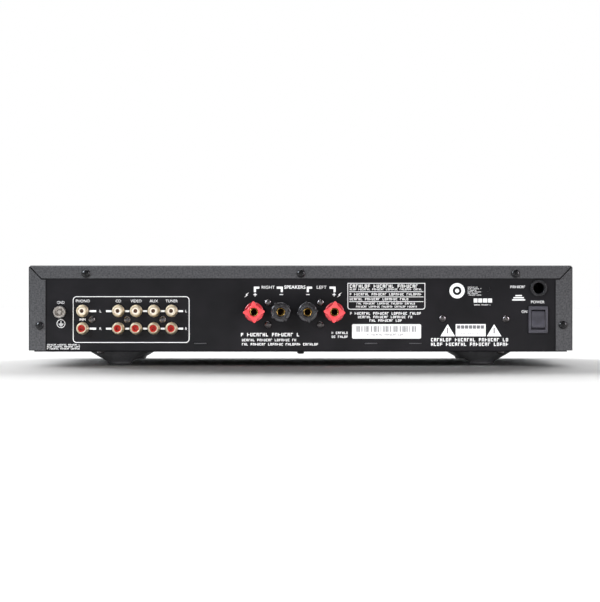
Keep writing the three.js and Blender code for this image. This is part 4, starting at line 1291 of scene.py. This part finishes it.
def printRear():
    bm = bmesh.new()
    for section in (printInputs, printEarth, printSpeakers, printRating, printMarks, printMains):
        section(bm)
    settleInk(bm, backFace, 1)
    makePiece("rear_printing", bm, [whiteInk], "chassis", ())


# Grey detail over white: blocks across the notice plate, its lines, and a bar in each triangle.
overlay = {"blocks": 7, "blockStart": -125.0, "blockPitch": 3.15, "blockWidth": 2.7,
           "blockHeights": (29.4, 32.2), "lines": ((-126, -146, 27.6, 1.0, 1), (-128, -144, 25.6, 1.0, 1)),
           "barHalf": 0.5, "barHeights": (25.6, 30.2)}


def printOverlay():
    bm = bmesh.new()
    for i in range(overlay["blocks"]):
        left = overlay["blockStart"] - i * overlay["blockPitch"]
        addBar(bm, left, left - overlay["blockWidth"], *overlay["blockHeights"])
    for line in overlay["lines"]:
        addStrokes(bm, *line)
    for middle in marks["triangles"]:
        half = overlay["barHalf"]
        addBar(bm, middle - half, middle + half, *overlay["barHeights"])
    settleInk(bm, backFace + ink["depth"], 1)
    makePiece("notice_detail", bm, [labelPrint], "chassis", ())


numberLabel = {"x": (-96.3, -41.1), "z": (21.5, 33.1), "thick": 0.12,
               "bars": (-44.3, -92.4, 26.9, 31.5), "count": 44, "note": (-53.3, -83.1, 24.7, 1.5, 2)}


def stickLabel():
    (x0, x1), (z0, z1), thick = (numberLabel[key] for key in ("x", "z", "thick"))
    sheet = blockBetween((x0, 0, z0), (x1, thick, z1))
    roundEdges(sheet, edgesAlong(sheet, 1), 1.2, 5)
    bmesh.ops.translate(sheet, vec=(0, backFace + ink["lift"], 0), verts=sheet.verts)
    makePiece("number_label", sheet, [label], "chassis", ())
    bm = bmesh.new()
    left, right, low, high = numberLabel["bars"]
    pitch = (left - right) / numberLabel["count"]
    for i in range(numberLabel["count"]):
        if (i * 5) % 7 in (1, 4):    # leaves gaps, so that the bars don't look even
            continue
        width = pitch * (0.4, 0.65, 1.0)[(i * i + 3 * i) % 3]
        addBar(bm, left - i * pitch, left - i * pitch - width, low, high)
    addStrokes(bm, *numberLabel["note"])
    settleInk(bm, backFace + thick, 1)
    makePiece("label_print", bm, [labelPrint], "chassis", ())


frontPrint = {"dialHeight": 2.4, "dialDrop": 7.5, "tickGap": 3.4, "tick": (0.25, 0.9), "drop": 13,
              "words": (("POWER", -190), ("PHONES", -150), ("TONE DEFEAT", 102))}


def printFront():
    bm = bmesh.new()
    halfWide, halfLong = frontPrint["tick"]
    tick = blockBetween((-halfWide, 0, -halfLong), (halfWide, ink["depth"], halfLong))
    for node, shape in knobs.items():
        x, reach = knobX(node), shape["radius"] + frontPrint["tickGap"]
        below = controlRow - shape["radius"] - frontPrint["dialDrop"]
        addWords(bm, shape["words"], x, below, frontPrint["dialHeight"], facing=-1)
        for i in range(shape["marks"]):
            angle = math.radians(-shape["sweep"] + 2 * shape["sweep"] * i / (shape["marks"] - 1))
            place = (x + reach * math.sin(angle), 0, controlRow + reach * math.cos(angle))
            addCopy(bm, tick, place, math.degrees(angle))
    for words, x in frontPrint["words"]:
        addWords(bm, words, x, controlRow - frontPrint["drop"], ink["tiny"], facing=-1)
    settleInk(bm, frontFace, -1)
    makePiece("front_printing", bm, [whiteInk], "chassis", ())


printRear()
printOverlay()
stickLabel()
printFront()
print("printing done")


# parts kept from the frame, with their finishes

# The panel's lower edge is a pressed bend, not a knife edge.
def roundPanelBend(panel):
    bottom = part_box("rear_panel")[0].z
    near = 0.01 * mm    # closeness that counts as on the edge
    edge = [v.index for v in panel.data.vertices
            if abs(v.co.z - bottom) < near and abs(v.co.y - backFace * mm) < near]
    panel.vertex_groups.new(name="bend").add(edge, 1, "REPLACE")
    bend = panel.modifiers.new("bend", "BEVEL")
    bend.limit_method = "VGROUP"
    bend.vertex_group = "bend"
    bend.width = 1.3 * mm
    bend.segments = 5


keptFinishes = {
    "rear_panel": panelPaint, "base_pan": zinc, "front_fascia": fasciaPaint, "main_board": board,
    "heatsink": anodised, "transformer_core": laminations, "transformer_winding": tape,
}
for finish, nodes in ((blackNylon, ("input_block_phono", "input_block_line_a", "input_block_line_b",
                                    "speaker_block_right", "speaker_block_left", "power_ic_left",
                                    "power_ic_right")),
                      (nickel, ("volume_pot", "bass_pot", "treble_pot", "balance_pot",
                                "selector_switch")),
                      (sleeve, ("capacitor_1", "capacitor_2"))):
    keptFinishes.update({node: finish for node in nodes})
for node, finish in keptFinishes.items():
    item = frame["nodes"][node]
    if not item.material_slots:
        item.data.materials.append(finish)
    for materialSlot in item.material_slots:
        materialSlot.material = finish
roundPanelBend(frame["nodes"]["rear_panel"])
print("frame parts finished")
